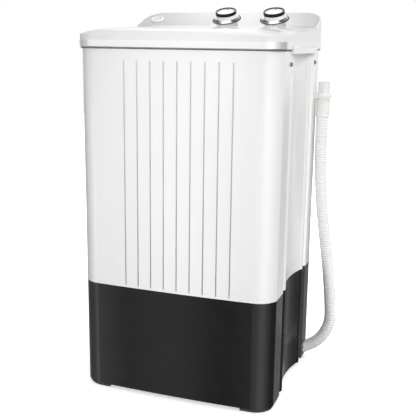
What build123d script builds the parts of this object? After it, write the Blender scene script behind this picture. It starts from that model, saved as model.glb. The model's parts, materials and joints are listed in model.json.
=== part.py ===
"""Single-tub pulsator washing machine, built as separate pieces.

Frame: origin on the floor under the middle of the body, +X to the right, +Y to the
rear and +Z up, in millimetres. The two knobs, the lid, the pulsator drive, the drain
valve and the lint filter are separate moving bodies.
"""

from build123d import *
import os
from math import acos, atan2, cos, degrees, hypot, pi, radians, sin, sqrt, tan

os.makedirs("parts", exist_ok=True)

# ---- driving dimensions ------------------------------------------------------------
WALL = 3.0
FIT = 0.3                      # clearance between neighbours that do not move
RUN = 0.06                     # radial clearance of a shaft that turns in a hole

FLOOR_GAP = 9.0                # height of the feet
SEAM_Z = 263.6                 # base housing below, cabinet above
CABINET_TOP_Z = 808.7
RIM_TOP_Z = 824.6
LEDGE_Z = 828.0                # top of the deck's rear ledge, under the console
STRIP_Z = 838.0                # deck's upright front strip ends here

BODY_HALF_W, BODY_FRONT, BODY_REAR = 235.5, -208.0, 208.0
RIM_HALF_W, RIM_FRONT, RIM_REAR = 240.0, -213.0, 213.0
DECK_HALF_W, DECK_FRONT, DECK_REAR = 239.0, -212.0, 212.0
PANEL_HALF_W, PANEL_REAR = 234.5, 208.0

BOW_RISE, BOW_HALF = 4.0, 190.0
BOW_R = (BOW_HALF**2 + BOW_RISE**2) / (2 * BOW_RISE)
CORNER_R = 50.0                # front corners, which end in a crease at the side
CORNER_IN = 45.5               # where the front bow hands over to the corner
REAR_R = 45.0

SIDE_Y = 3.0                   # middle of the side relief
GROOVE_OUT, GROOVE_IN, RIB_IN = 116.0, 98.0, 77.0
GROOVE_DEPTH, SCOOP_DEPTH = 5.5, 15.5

FLUTES, FLUTE_PITCH, FLUTE_SHIFT = 9, 31.5, 10.0
FLUTE_R, FLUTE_SINK = 1.6, 0.5
FLUTE_LOW, FLUTE_HIGH = 269.0, 782.0

TUB_Y = -8.0
TUB_R, TUB_WALL = 190.0, 2.5
TUB_FLOOR_Z, TUB_TOP_Z = 300.0, 806.0
PULLEY_LOW, PULLEY_HIGH = 226.0, 242.0
BIG_R, SMALL_R = 70.0, 28.0    # running radius of the two pulleys
SHAFT_R = 7.0
MOTOR_X, MOTOR_Y, MOTOR_R = -124.0, 78.0, 58.0
MOTOR_LOW, MOTOR_HIGH = 98.0, 205.0

DECK_FOOT_Y = 121.0            # where the console meets the deck
CREASE_Y = -177.0
LID_Y = -34.0
LID_W, LID_D, LID_R, LID_GAP = 322.0, 276.0, 58.0, 1.5
LID_DEPTH = 7.0
HINGE_BACK = 3.5               # hinge axis ahead of the lid's rear edge
HINGE_DROP = 3.6
HINGE_PIN_R = 2.5
MOUTH_W, MOUTH_D, MOUTH_R, MOUTH_Y = 300.0, 250.0, 90.0, -40.0

PANEL_SLOPE = 22.6
PANEL_FOOT_Z = 862.6
PANEL_T = 3.0
KNOB_Y = 163.0
TIMER_X, SELECTOR_X = -4.0, 122.0
INLET_X, INLET_Y = -194.0, 158.0
VALVE_X, VALVE_Y = 163.0, 153.0

OUTLET_Y, OUTLET_Z, OUTLET_TILT = 153.0, 26.0, 28.0
OUTLET_LENGTH = 8.0            # from the outlet plane's origin to where the hose starts
HOSE_R, HOSE_SPOUT_R, CUFF_R = 15.5, 13.75, 16.6
# the hose's route in the plane y = OUTLET_Y, as (x, z), from the outlet to the cuff
HOSE_ROUTE = [
    (236.6, 29.8), (256.1, 40.2), (274.4, 56.2), (288.5, 76.0), (297.8, 98.4), (301.7, 122.4),
    (299.3, 158.0), (295.0, 204.0), (289.0, 254.0), (281.5, 305.0), (273.5, 357.0), (266.0, 409.0),
    (260.5, 461.0), (257.2, 514.0), (255.4, 568.0), (255.0, 610.0), (255.4, 648.0),
]
CUFF_LENGTH, SPOUT_LENGTH = 54.0, 28.0


# ---- outlines ----------------------------------------------------------------------
def bow_y(x, apex):
    """The front face's y at x, for a front whose foremost point is at apex."""
    return apex + BOW_R - sqrt(BOW_R**2 - x**2)


def relief(x_side):
    """The side's outer relief, from front to rear: groove, rib, scoop, rib, groove."""
    floor_x = x_side - GROOVE_DEPTH
    for end in (-1, 1):
        column = (x_side, SIDE_Y + end * GROOVE_OUT)
        foot = (floor_x, SIDE_Y + end * (GROOVE_OUT - 4))
        inner = (floor_x, SIDE_Y + end * GROOVE_IN)
        scoop = (floor_x, SIDE_Y + end * RIB_IN)
        crown = (x_side - 0.8, SIDE_Y + end * (GROOVE_IN + RIB_IN) / 2)
        Line(column, foot)
        Line(foot, inner)
        ThreePointArc(inner, crown, scoop)
    ThreePointArc((floor_x, SIDE_Y - RIB_IN), (x_side - SCOOP_DEPTH, SIDE_Y), (floor_x, SIDE_Y + RIB_IN))


def relief_inside(x_side):
    """The inner face of the same relief, one wall thickness in."""
    deep_x = x_side - GROOVE_DEPTH
    for end in (-1, 1):
        column = (x_side, SIDE_Y + end * (GROOVE_OUT + WALL))
        foot = (deep_x, SIDE_Y + end * (GROOVE_OUT - 1))
        scoop = (deep_x, SIDE_Y + end * (RIB_IN + WALL))
        Line(column, foot)
        Line(foot, scoop)
    ThreePointArc(
        (deep_x, SIDE_Y - RIB_IN - WALL), (x_side - SCOOP_DEPTH, SIDE_Y), (deep_x, SIDE_Y + RIB_IN + WALL)
    )


def outline(half_w, apex, rear, inset=0.0, side=None):
    """Plan of the body: bowed front, round front corners that end in a crease, and
    round rear corners, moved in by inset. side adds the relief on both sides."""
    bow_centre = Vector(0, apex + BOW_R)
    hand_over = Vector(half_w - CORNER_IN, bow_y(half_w - CORNER_IN, apex))
    inward = (bow_centre - hand_over).normalized()
    centre = hand_over + inward * CORNER_R
    radius = CORNER_R - inset
    x_side = half_w - inset
    start = centre - inward * radius
    crease = Vector(x_side, centre.Y - sqrt(radius**2 - (x_side - centre.X) ** 2))
    middle = centre + ((start + crease) * 0.5 - centre).normalized() * radius
    rear_y = rear - inset
    rear_r = REAR_R - inset
    bend = rear_r * (1 - cos(pi / 4))
    with BuildSketch() as plan:
        with BuildLine():
            ThreePointArc((start.X, start.Y), (middle.X, middle.Y), (crease.X, crease.Y))
            if side is None:
                Line((x_side, crease.Y), (x_side, rear_y - rear_r))
            else:
                extra = WALL if side is relief_inside else 0
                Line((x_side, crease.Y), (x_side, SIDE_Y - GROOVE_OUT - extra))
                side(x_side)
                Line((x_side, SIDE_Y + GROOVE_OUT + extra), (x_side, rear_y - rear_r))
            ThreePointArc(
                (x_side, rear_y - rear_r), (x_side - bend, rear_y - bend), (x_side - rear_r, rear_y)
            )
            mirror(about=Plane.YZ)
            ThreePointArc((-start.X, start.Y), (0, apex + inset), (start.X, start.Y))
            Line((rear_r - x_side, rear_y), (x_side - rear_r, rear_y))
        make_face()
    return plan.sketch


# ---- planes ------------------------------------------------------------------------
def rising_plane(z_front, z_rear):
    """A plane along X that passes z_front at the crease and z_rear at the console."""
    slope = atan2(z_rear - z_front, DECK_FOOT_Y - CREASE_Y)
    z_middle = z_front - CREASE_Y * tan(slope)
    return Plane(origin=(0, 0, z_middle), x_dir=(1, 0, 0), z_dir=(0, -sin(slope), cos(slope)))


def on_plane(plane, x, y):
    """The same plane with its origin moved to plan position x, y."""
    normal, origin = plane.z_dir, plane.origin
    z = origin.Z - (normal.X * (x - origin.X) + normal.Y * (y - origin.Y)) / normal.Z
    return Plane(origin=(x, y, z), x_dir=(1, 0, 0), z_dir=normal)


EDGE_PLANE = rising_plane(STRIP_Z, 855.6)      # the strip's upper edge
TOP_PLANE = rising_plane(849.9, 862.9)         # the flat middle of the deck
LID_PLANE = on_plane(TOP_PLANE, 0, LID_Y)
PANEL_PLANE = Plane(
    origin=(0, DECK_FOOT_Y, PANEL_FOOT_Z),
    x_dir=(1, 0, 0),
    z_dir=(0, -sin(radians(PANEL_SLOPE)), cos(radians(PANEL_SLOPE))),
)
TIMER_PLANE = on_plane(PANEL_PLANE, TIMER_X, KNOB_Y)
SELECTOR_PLANE = on_plane(PANEL_PLANE, SELECTOR_X, KNOB_Y)
INLET_PLANE = on_plane(PANEL_PLANE, INLET_X, INLET_Y)
OUTLET_PLANE = Plane(
    origin=(BODY_HALF_W - 6, OUTLET_Y, OUTLET_Z),
    x_dir=(0, 1, 0),
    z_dir=(cos(radians(OUTLET_TILT)), 0, sin(radians(OUTLET_TILT))),
)


def save(part, name):
    """Labels a finished piece and writes it under its own name."""
    part.label = name
    export_step(part, f"parts/{name}.step")


# ---- base --------------------------------------------------------------------------
OUTLET_HOLE_R = 15.9
REAR_DOOR_W, REAR_DOOR_H, REAR_DOOR_Z = 220.0, 130.0, 150.0
REAR_SCREWS = [(x, z) for x in (-118, 0, 118) for z in (77, 223)]
PLATE_SCREWS = [(x, y) for x in (-196, 196) for y in (-150, 160)]

with BuildPart() as base_housing:
    with BuildSketch(Plane.XY.offset(FLOOR_GAP)):
        add(outline(BODY_HALF_W, BODY_FRONT, BODY_REAR, side=relief))
    extrude(amount=SEAM_Z - FLOOR_GAP)
    with BuildSketch(Plane.XY.offset(FLOOR_GAP + WALL)):
        add(outline(BODY_HALF_W, BODY_FRONT, BODY_REAR, inset=WALL, side=relief_inside))
    extrude(amount=SEAM_Z, mode=Mode.SUBTRACT)
    with BuildSketch(Plane.XY):
        with Locations((0, SIDE_Y)):
            RectangleRounded(360, 330, 40)
    extrude(amount=2 * FLOOR_GAP, mode=Mode.SUBTRACT)
    with BuildSketch(Plane.XZ.offset(-BODY_REAR - 1)):
        with Locations((0, REAR_DOOR_Z)):
            RectangleRounded(REAR_DOOR_W, REAR_DOOR_H, 8)
    extrude(amount=8, mode=Mode.SUBTRACT)
    with Locations([(x, BODY_REAR, z) for x, z in REAR_SCREWS]):
        Cylinder(1.8, 12, rotation=(90, 0, 0), mode=Mode.SUBTRACT)
    with BuildSketch(OUTLET_PLANE.offset(-20)):
        Circle(OUTLET_HOLE_R)
    extrude(amount=40, mode=Mode.SUBTRACT)
    with Locations([(x, y, FLOOR_GAP) for x, y in PLATE_SCREWS]):
        Cylinder(2.1, 12, mode=Mode.SUBTRACT)
save(base_housing.part, "base_housing")

FOOT_X, FOOT_Y = 165.0, 138.0
with BuildPart() as feet:
    with BuildSketch(Plane.XY):
        add(outline(BODY_HALF_W, BODY_FRONT, BODY_REAR, inset=4))
        Rectangle(2 * FOOT_X, 500, mode=Mode.SUBTRACT)
        with Locations((0, SIDE_Y)):
            Rectangle(600, 2 * FOOT_Y, mode=Mode.SUBTRACT)
    extrude(amount=FLOOR_GAP)
    chamfer(feet.faces().sort_by(Axis.Z)[:4].edges(), length=2.0)
save(feet.part, "feet")

with BuildPart() as base_plate:
    with BuildSketch(Plane.XY.offset(FLOOR_GAP + WALL)):
        with Locations((0, SIDE_Y)):
            RectangleRounded(420, 380, 30)
        with Locations([(x, y) for x in (-60, 0, 60) for y in (-120, -90, -60)]):
            SlotOverall(44, 8, mode=Mode.SUBTRACT)
        with Locations(PLATE_SCREWS):
            Circle(2.1, mode=Mode.SUBTRACT)
    extrude(amount=WALL)
save(base_plate.part, "base_plate")

with BuildPart() as rear_access_cover:
    with BuildSketch(Plane.XZ.offset(-BODY_REAR - 2.5)):
        with Locations((0, REAR_DOOR_Z)):
            RectangleRounded(REAR_DOOR_W + 36, REAR_DOOR_H + 36, 14)
    extrude(amount=2.5)
    fillet(rear_access_cover.faces().sort_by(Axis.Y)[-1].edges(), radius=1)
    with BuildSketch(Plane.XZ.offset(-BODY_REAR - 4)):
        with Locations([(0, REAR_DOOR_Z + 11 * step) for step in range(-3, 4)]):
            SlotOverall(120, 4)
        with Locations(REAR_SCREWS):
            Circle(1.8)
    extrude(amount=12, mode=Mode.SUBTRACT)
save(rear_access_cover.part, "rear_access_cover")

with BuildPart() as housing_screws:
    with Locations([(x, y, FLOOR_GAP + 2 * WALL + 1.25) for x, y in PLATE_SCREWS]):
        Cylinder(4, 2.5)
        with Locations((0, 0, -4.2)):
            Cylinder(2, 6)
    with Locations([(x, BODY_REAR + 2.5 + 0.9, z) for x, z in REAR_SCREWS]):
        Cylinder(3.8, 1.8, rotation=(90, 0, 0))
        with Locations((0, -4.4, 0)):
            Cylinder(1.7, 7, rotation=(90, 0, 0))
    with Locations([(x, BODY_REAR + 4.3, z) for x, z in REAR_SCREWS]):
        Box(1.1, 1.6, 5, mode=Mode.SUBTRACT)
        Box(5, 1.6, 1.1, mode=Mode.SUBTRACT)
save(housing_screws.part, "housing_screws")

# ---- cabinet -----------------------------------------------------------------------
GRIP_SCREW_DY = 122.0
GRIP_SCREW_Z = 778.0
GRIP_SCREWS = [(end * BODY_HALF_W, SIDE_Y + dy, GRIP_SCREW_Z)
               for end in (-1, 1) for dy in (-GRIP_SCREW_DY, GRIP_SCREW_DY)]
GLAND_X, GLAND_Z = -150.0, 300.0

with BuildPart() as cabinet:
    with BuildSketch(Plane.XY.offset(SEAM_Z)):
        add(outline(BODY_HALF_W, BODY_FRONT, BODY_REAR, side=relief))
    extrude(amount=CABINET_TOP_Z - SEAM_Z)
    with BuildSketch(Plane.XY.offset(SEAM_Z - 1)):
        add(outline(BODY_HALF_W, BODY_FRONT, BODY_REAR, inset=WALL, side=relief_inside))
    extrude(amount=CABINET_TOP_Z - SEAM_Z + 2, mode=Mode.SUBTRACT)
    for step in range(FLUTES):
        flute_x = FLUTE_SHIFT + (step - (FLUTES - 1) / 2) * FLUTE_PITCH
        with Locations((flute_x, bow_y(flute_x, BODY_FRONT) - FLUTE_SINK, (FLUTE_LOW + FLUTE_HIGH) / 2)):
            Cylinder(FLUTE_R, FLUTE_HIGH - FLUTE_LOW, mode=Mode.SUBTRACT)
    with Locations(GRIP_SCREWS):
        Cylinder(2.1, 30, rotation=(0, 90, 0), mode=Mode.SUBTRACT)
    with Locations((GLAND_X, BODY_REAR, GLAND_Z)):
        Cylinder(8.2, 20, rotation=(90, 0, 0), mode=Mode.SUBTRACT)
save(cabinet.part, "cabinet")

with BuildPart() as grip_screws:
    for x, y, z in GRIP_SCREWS:
        end = 1 if x > 0 else -1
        with Locations((x + end * 1.5, y, z)):
            Cylinder(4.6, 2.8, rotation=(0, 90, 0))
        with Locations((x + end * 3.5, y, z)):
            Cone(4.6, 3.4, 1.2, rotation=(0, end * 90, 0))
        with Locations((x + end * 4.0, y, z)):
            Box(1.6, 5, 1.2, mode=Mode.SUBTRACT)
            Box(1.6, 1.2, 5, mode=Mode.SUBTRACT)
        with Locations((x - end * 4, y, z)):
            Cylinder(2, 8.4, rotation=(0, 90, 0))
save(grip_screws.part, "grip_screws")

with BuildPart() as cord_gland:
    with Locations((GLAND_X, BODY_REAR + 2, GLAND_Z)):
        Cylinder(12, 4, rotation=(90, 0, 0))
    with Locations((GLAND_X, BODY_REAR - 3, GLAND_Z)):
        Cylinder(8, 8, rotation=(90, 0, 0))
    chamfer(cord_gland.faces().sort_by(Axis.Y)[-1].edges(), length=1.5)
    with Locations((GLAND_X, BODY_REAR, GLAND_Z)):
        Cylinder(4.5, 20, rotation=(90, 0, 0), mode=Mode.SUBTRACT)
save(cord_gland.part, "cord_gland")

with BuildPart() as rim:
    with BuildSketch(Plane.XY.offset(CABINET_TOP_Z)):
        add(outline(RIM_HALF_W, RIM_FRONT, RIM_REAR))
    extrude(amount=RIM_TOP_Z - CABINET_TOP_Z)
    chamfer(rim.faces().sort_by(Axis.Z)[0].edges(), length=1.6)
    with BuildSketch(Plane.XY.offset(CABINET_TOP_Z - 1)):
        add(outline(RIM_HALF_W, RIM_FRONT, RIM_REAR, inset=11))
    extrude(amount=RIM_TOP_Z - CABINET_TOP_Z + 2, mode=Mode.SUBTRACT)
save(rim.part, "rim")

# ---- side grips --------------------------------------------------------------------
GRIP_LOW, GRIP_HIGH = 800.5, 815.5
GRIP_HALF = 124.0
GRIP_X, GRIP_BOW = RIM_HALF_W + FIT, 9.5
GRIP_ROOT = 34.0


# a bowed bar bridges each scoop; its two ends reach back under the rim
with BuildPart() as side_grips:
    low, high = SIDE_Y - GRIP_HALF, SIDE_Y + GRIP_HALF
    with BuildSketch(Plane.XY.offset(GRIP_LOW)):
        with BuildLine():
            ThreePointArc((GRIP_X + 1, low), (GRIP_X + GRIP_BOW, SIDE_Y), (GRIP_X + 1, high))
            Line((GRIP_X + 1, high), (GRIP_X, high))
            Line((GRIP_X, high), (GRIP_X, low))
            Line((GRIP_X, low), (GRIP_X + 1, low))
        make_face()
    extrude(amount=GRIP_HIGH - GRIP_LOW)
    fillet(side_grips.faces().sort_by(Axis.Z)[-1].edges().sort_by(Axis.X)[-1], radius=3)
    with BuildSketch(Plane.XY.offset(GRIP_LOW)):
        for end in (-1, 1):
            with BuildLine():
                tip, root = SIDE_Y + end * GRIP_HALF, SIDE_Y + end * (GRIP_HALF - GRIP_ROOT)
                Line((GRIP_X + 1, root), (GRIP_X + 1, tip))
                Line((GRIP_X + 1, tip), (BODY_HALF_W + 0.1, tip))
                Line((BODY_HALF_W + 0.1, tip), (BODY_HALF_W + 0.1, tip - end * 6))
                Line((BODY_HALF_W + 0.1, tip - end * 6), (GRIP_X + 1, root))
            make_face()
    extrude(amount=CABINET_TOP_Z - GRIP_LOW - FIT)
    mirror(about=Plane.YZ)
save(side_grips.part, "side_grips")

# ---- deck --------------------------------------------------------------------------
# inset all round, further inset of the two sides, share of the rise
SHOULDER = [(0.0, 0.0, 0.0), (9.0, 15.0, 0.5), (23.0, 27.0, 0.85), (44.0, 36.0, 1.0)]

with BuildPart() as deck_blank:
    with BuildSketch(Plane.XY.offset(RIM_TOP_Z)):
        add(outline(DECK_HALF_W, DECK_FRONT, DECK_REAR))
    extrude(amount=60)
    split(bisect_by=EDGE_PLANE, keep=Keep.BOTTOM)

with BuildPart() as deck_crown:
    for inset, side_inset, share in SHOULDER:
        level = rising_plane(
            STRIP_Z + share * (849.9 - STRIP_Z), 855.6 + share * (862.9 - 855.6)
        )
        with BuildSketch(level):
            add(outline(DECK_HALF_W - side_inset, DECK_FRONT, DECK_REAR, inset=inset))
    loft()

with BuildPart() as deck_cavity:
    with BuildSketch(Plane.XY.offset(RIM_TOP_Z - 1)):
        add(outline(DECK_HALF_W, DECK_FRONT, DECK_REAR, inset=3.5))
    extrude(amount=60)
    split(bisect_by=EDGE_PLANE.offset(-4), keep=Keep.BOTTOM)
    with BuildSketch(Plane.XY.offset(RIM_TOP_Z - 1)):
        add(outline(DECK_HALF_W, DECK_FRONT, DECK_REAR, inset=43))
    extrude(amount=20)
    split(bisect_by=TOP_PLANE.offset(-13), keep=Keep.BOTTOM)
    split(bisect_by=Plane.XZ.offset(3 - DECK_FOOT_Y), keep=Keep.TOP)

with BuildPart() as top_deck:
    add(deck_blank.part)
    add(deck_crown.part)
    split(bisect_by=Plane.XZ.offset(-DECK_FOOT_Y), keep=Keep.TOP)
    with BuildSketch(Plane.XY.offset(RIM_TOP_Z)):
        add(outline(DECK_HALF_W, DECK_FRONT, DECK_REAR))
    extrude(amount=LEDGE_Z - RIM_TOP_Z)
    add(deck_cavity.part, mode=Mode.SUBTRACT)
    with BuildSketch(Plane.XY.offset(RIM_TOP_Z - 1)):
        with Locations((0, 162)):
            RectangleRounded(400, 66, 20)
    extrude(amount=10, mode=Mode.SUBTRACT)
    with BuildSketch(LID_PLANE.offset(-LID_DEPTH)):
        RectangleRounded(LID_W + 2 * LID_GAP, LID_D + 2 * LID_GAP, LID_R)
    extrude(amount=30, mode=Mode.SUBTRACT)
    with BuildSketch(LID_PLANE.offset(-LID_DEPTH)):
        with Locations((0, LID_D / 2 - 33)):
            Rectangle(LID_W + 2 * LID_GAP, 69)
    extrude(amount=30, mode=Mode.SUBTRACT)
    with BuildSketch(LID_PLANE.offset(-LID_DEPTH - 2.4)):
        with Locations((0, LID_D / 2 - 2)):
            Rectangle(LID_W + 2 * LID_GAP, 15)
    extrude(amount=10, mode=Mode.SUBTRACT)
    with BuildSketch(LID_PLANE.offset(-30)):
        with Locations((0, MOUTH_Y - LID_Y)):
            RectangleRounded(MOUTH_W, MOUTH_D, MOUTH_R)
    extrude(amount=40, mode=Mode.SUBTRACT)
    with Locations(LID_PLANE):
        with Locations((0, LID_D / 2 - HINGE_BACK, -HINGE_DROP)):
            Cylinder(HINGE_PIN_R + 0.1, LID_W + 22, rotation=(0, 90, 0), mode=Mode.SUBTRACT)
save(top_deck.part, "top_deck")

with BuildPart() as splash_guard:
    with BuildSketch(Plane.XY.offset(TUB_TOP_Z - 14)):
        with Locations((0, MOUTH_Y)):
            RectangleRounded(MOUTH_W - 1, MOUTH_D - 1, MOUTH_R)
            RectangleRounded(MOUTH_W - 6, MOUTH_D - 6, MOUTH_R - 3, mode=Mode.SUBTRACT)
    extrude(amount=60)
    split(bisect_by=TOP_PLANE.offset(-13.3), keep=Keep.BOTTOM)
save(splash_guard.part, "splash_guard")

# ---- lid ---------------------------------------------------------------------------
HINGE_Y = LID_D / 2 - HINGE_BACK
with BuildPart() as lid:
    with BuildSketch(LID_PLANE.offset(-LID_DEPTH + FIT)):
        RectangleRounded(LID_W, LID_D, LID_R - LID_GAP)
        with Locations((0, LID_D / 2 - 33)):
            Rectangle(LID_W, 66)
    extrude(amount=LID_DEPTH - FIT)
    fillet(lid.faces().sort_by(Axis.Z)[-1].edges(), radius=1.4)
    with BuildSketch(LID_PLANE.offset(-LID_DEPTH)):
        RectangleRounded(LID_W - 16, LID_D - 16, LID_R - 8)
    extrude(amount=LID_DEPTH - 2.8, mode=Mode.SUBTRACT)
    with BuildSketch(LID_PLANE.offset(-LID_DEPTH)):
        with Locations([(x, 0) for x in (-90, -30, 30, 90)]):
            Rectangle(2, LID_D - 14)
    extrude(amount=LID_DEPTH - 2.6)
    with BuildSketch(LID_PLANE.offset(-2)):
        with Locations((0, -LID_D / 2)):
            SlotOverall(80, 22)
    extrude(amount=4, mode=Mode.SUBTRACT)
    with Locations(LID_PLANE):
        with Locations((0, HINGE_Y, -HINGE_DROP)):
            Cylinder(HINGE_PIN_R, LID_W + 4, rotation=(0, 90, 0), mode=Mode.SUBTRACT)
save(lid.part, "lid")

with BuildPart() as lid_hinge_pins:
    with Locations(LID_PLANE):
        with Locations([(end * (LID_W / 2 + 1), HINGE_Y, -HINGE_DROP) for end in (-1, 1)]):
            Cylinder(HINGE_PIN_R, 16, rotation=(0, 90, 0))
save(lid_hinge_pins.part, "lid_hinge_pins")

# ---- console -----------------------------------------------------------------------
KNOB_HOLE_R = 8.0
with BuildPart() as console_housing:
    with BuildSketch(Plane.XY.offset(LEDGE_Z)):
        add(outline(DECK_HALF_W, DECK_FRONT, DECK_REAR))
    extrude(amount=90)
    split(bisect_by=Plane.XZ.offset(-DECK_FOOT_Y - FIT), keep=Keep.BOTTOM)
    split(bisect_by=PANEL_PLANE.offset(-PANEL_T), keep=Keep.BOTTOM)
    fillet(console_housing.edges().filter_by(Axis.X).sort_by(Axis.Z)[-1], radius=2)
    with BuildSketch(Plane.XY.offset(LEDGE_Z - 1)):
        add(outline(DECK_HALF_W, DECK_FRONT, DECK_REAR, inset=7))
        with Locations((0, DECK_FOOT_Y + 3 - 300)):
            Rectangle(600, 600, mode=Mode.SUBTRACT)
    extrude(amount=90, mode=Mode.SUBTRACT)
save(console_housing.part, "console_housing")

with BuildPart() as console_panel:
    with BuildSketch(Plane.XY.offset(LEDGE_Z)):
        add(outline(PANEL_HALF_W, DECK_FRONT, PANEL_REAR))
        with Locations((0, DECK_FOOT_Y + FIT - 300)):
            Rectangle(600, 600, mode=Mode.SUBTRACT)
    extrude(amount=90)
    split(bisect_by=PANEL_PLANE, keep=Keep.BOTTOM)
    split(bisect_by=PANEL_PLANE.offset(-PANEL_T), keep=Keep.TOP)
    fillet(console_panel.edges().filter_by(Axis.X).sort_by(Axis.Z)[-1], radius=1.5)
    for plane in (TIMER_PLANE, SELECTOR_PLANE):
        with BuildSketch(plane.offset(-6)):
            Circle(KNOB_HOLE_R)
        extrude(amount=12, mode=Mode.SUBTRACT)
    with BuildSketch(INLET_PLANE.offset(-6)):
        Circle(15)
    extrude(amount=12, mode=Mode.SUBTRACT)
save(console_panel.part, "console_panel")

with BuildPart() as water_inlet:
    with BuildSketch(INLET_PLANE.offset(0.1)):
        Circle(17)
    extrude(amount=4)
    fillet(water_inlet.faces().sort_by(Axis.Z)[-1].edges(), radius=1.6)
    with BuildSketch(INLET_PLANE.offset(0.1)):
        Circle(14.8)
    extrude(amount=-20)
    with BuildSketch(INLET_PLANE.offset(5)):
        Circle(12.5)
    extrude(amount=-23, mode=Mode.SUBTRACT)
    with BuildSketch(INLET_PLANE.offset(-26)):
        Circle(6)
    extrude(amount=8)
    with BuildSketch(INLET_PLANE.offset(-27)):
        Circle(4)
    extrude(amount=10, mode=Mode.SUBTRACT)
save(water_inlet.part, "water_inlet")


def knob_parts(plane, name):
    """A knob in three pieces around its axis, and the spindle under it."""
    with BuildPart() as skirt:
        with BuildSketch(plane.offset(0.4)):
            Circle(34.5)
        with BuildSketch(plane.offset(2.2)):
            Circle(33.6)
        loft(ruled=True)
        with BuildSketch(plane.offset(2.2)):
            Circle(33.6)
        with BuildSketch(plane.offset(6.0)):
            Circle(28)
        loft(ruled=True)
        with BuildSketch(plane.offset(-1)):
            Circle(25)
        extrude(amount=10, mode=Mode.SUBTRACT)
    save(skirt.part, f"{name}_knob_skirt")

    with BuildPart() as body:
        with BuildSketch(plane.offset(1.0)):
            Circle(25)
        extrude(amount=5)
        with BuildSketch(plane.offset(6.0)):
            Circle(26.4)
        with BuildSketch(plane.offset(14.0)):
            Circle(25.2)
        loft(ruled=True)
        with BuildSketch(plane.offset(14.0)):
            Circle(23)
        extrude(amount=5.5)
        with BuildSketch(plane.offset(19.5)):
            with Locations((0, 16.5)):
                SlotOverall(9, 2.6, rotation=90)
        extrude(amount=-1, mode=Mode.SUBTRACT)
        with BuildSketch(plane.offset(1.0)):
            Circle(4)
        extrude(amount=12, mode=Mode.SUBTRACT)
    save(body.part, f"{name}_knob_body")

    with BuildPart() as band:
        with BuildSketch(plane.offset(14.0)):
            Circle(26.6)
            Circle(23, mode=Mode.SUBTRACT)
        extrude(amount=8)
        fillet(band.edges().filter_by(GeomType.CIRCLE).group_by(SortBy.RADIUS)[-1], radius=1.0)
    save(band.part, f"{name}_knob_band")

    with BuildPart() as spindle:
        with BuildSketch(plane.offset(-12)):
            Circle(4)
        extrude(amount=25)
    save(spindle.part, f"{name}_spindle")


knob_parts(TIMER_PLANE, "timer")
knob_parts(SELECTOR_PLANE, "selector")


def switch_unit(plane, width, height, name):
    """The housing under the panel that a spindle turns in, with its front boss."""
    with BuildPart() as unit:
        with BuildSketch(plane.offset(-14)):
            RectangleRounded(width, height, 5)
        extrude(amount=-18)
        with BuildSketch(plane.offset(-14)):
            Circle(12)
        extrude(amount=14 - PANEL_T - FIT)
        with BuildSketch(plane.offset(-13)):
            Circle(4 + RUN)
        extrude(amount=20, mode=Mode.SUBTRACT)
        with BuildSketch(plane.offset(-32)):
            with Locations([(x, -height / 4) for x in (-12, -4, 4, 12)]):
                Rectangle(1, 5)
        extrude(amount=-6)
    save(unit.part, name)


switch_unit(TIMER_PLANE, 52, 40, "timer_unit")
switch_unit(SELECTOR_PLANE, 44, 36, "selector_unit")

# ---- tub and drive -----------------------------------------------------------------
TUB_IN = TUB_R - TUB_WALL
BEARING_R, BEARING_H = 16.0, 10.0
SUMP_X, SUMP_Y, SUMP_R = 120.0, TUB_Y + 85, 14.0    # the drain hole in the tub's floor
LIP = 3.0

# the tub is a straight wall with a rolled lip, and a flat floor let into it
with BuildPart() as wash_tub:
    with BuildSketch(Plane.XZ.offset(-TUB_Y)):
        with BuildLine():
            Polyline(
                (TUB_IN, TUB_FLOOR_Z), (TUB_R, TUB_FLOOR_Z), (TUB_R, TUB_TOP_Z - LIP),
                (TUB_R + LIP, TUB_TOP_Z - LIP), (TUB_R + LIP, TUB_TOP_Z), (TUB_IN, TUB_TOP_Z), close=True,
            )
        make_face()
    revolve(axis=Axis((0, TUB_Y, 0), (0, 0, 1)))
save(wash_tub.part, "wash_tub")

with BuildPart() as tub_floor:
    with Locations((0, TUB_Y, TUB_FLOOR_Z + WALL / 2)):
        Cylinder(TUB_IN - 0.05, WALL)
        Cylinder(20, 2 * WALL, mode=Mode.SUBTRACT)
    with Locations((SUMP_X, SUMP_Y, TUB_FLOOR_Z)):
        Cylinder(SUMP_R, 12, mode=Mode.SUBTRACT)
save(tub_floor.part, "tub_floor")

CHANNEL_ANGLE = 125.0          # direction from the tub's axis, degrees from +X
CHANNEL_LOW, CHANNEL_HIGH = 345.0, 720.0
CHANNEL = Plane(
    origin=(TUB_IN * cos(radians(CHANNEL_ANGLE)), TUB_Y + TUB_IN * sin(radians(CHANNEL_ANGLE)), 0),
    x_dir=(sin(radians(CHANNEL_ANGLE)), -cos(radians(CHANNEL_ANGLE)), 0),
    z_dir=(0, 0, 1),
)

with BuildPart() as filter_channel:
    with BuildSketch(CHANNEL.offset(CHANNEL_LOW)):
        with Locations((0, -9)):
            Rectangle(72, 26)
            Rectangle(66, 20, mode=Mode.SUBTRACT)
    extrude(amount=CHANNEL_HIGH - CHANNEL_LOW - 110)
    with BuildSketch(CHANNEL.offset(CHANNEL_HIGH - 110)):
        with Locations((0, -9)):
            Rectangle(72, 26)
            with Locations((0, -3)):
                Rectangle(60, 26, mode=Mode.SUBTRACT)
    extrude(amount=110)
    with Locations((0, TUB_Y, CHANNEL_HIGH / 2)):
        Cylinder(TUB_IN - 0.1, CHANNEL_HIGH * 2, mode=Mode.INTERSECT)
save(filter_channel.part, "filter_channel")

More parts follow.
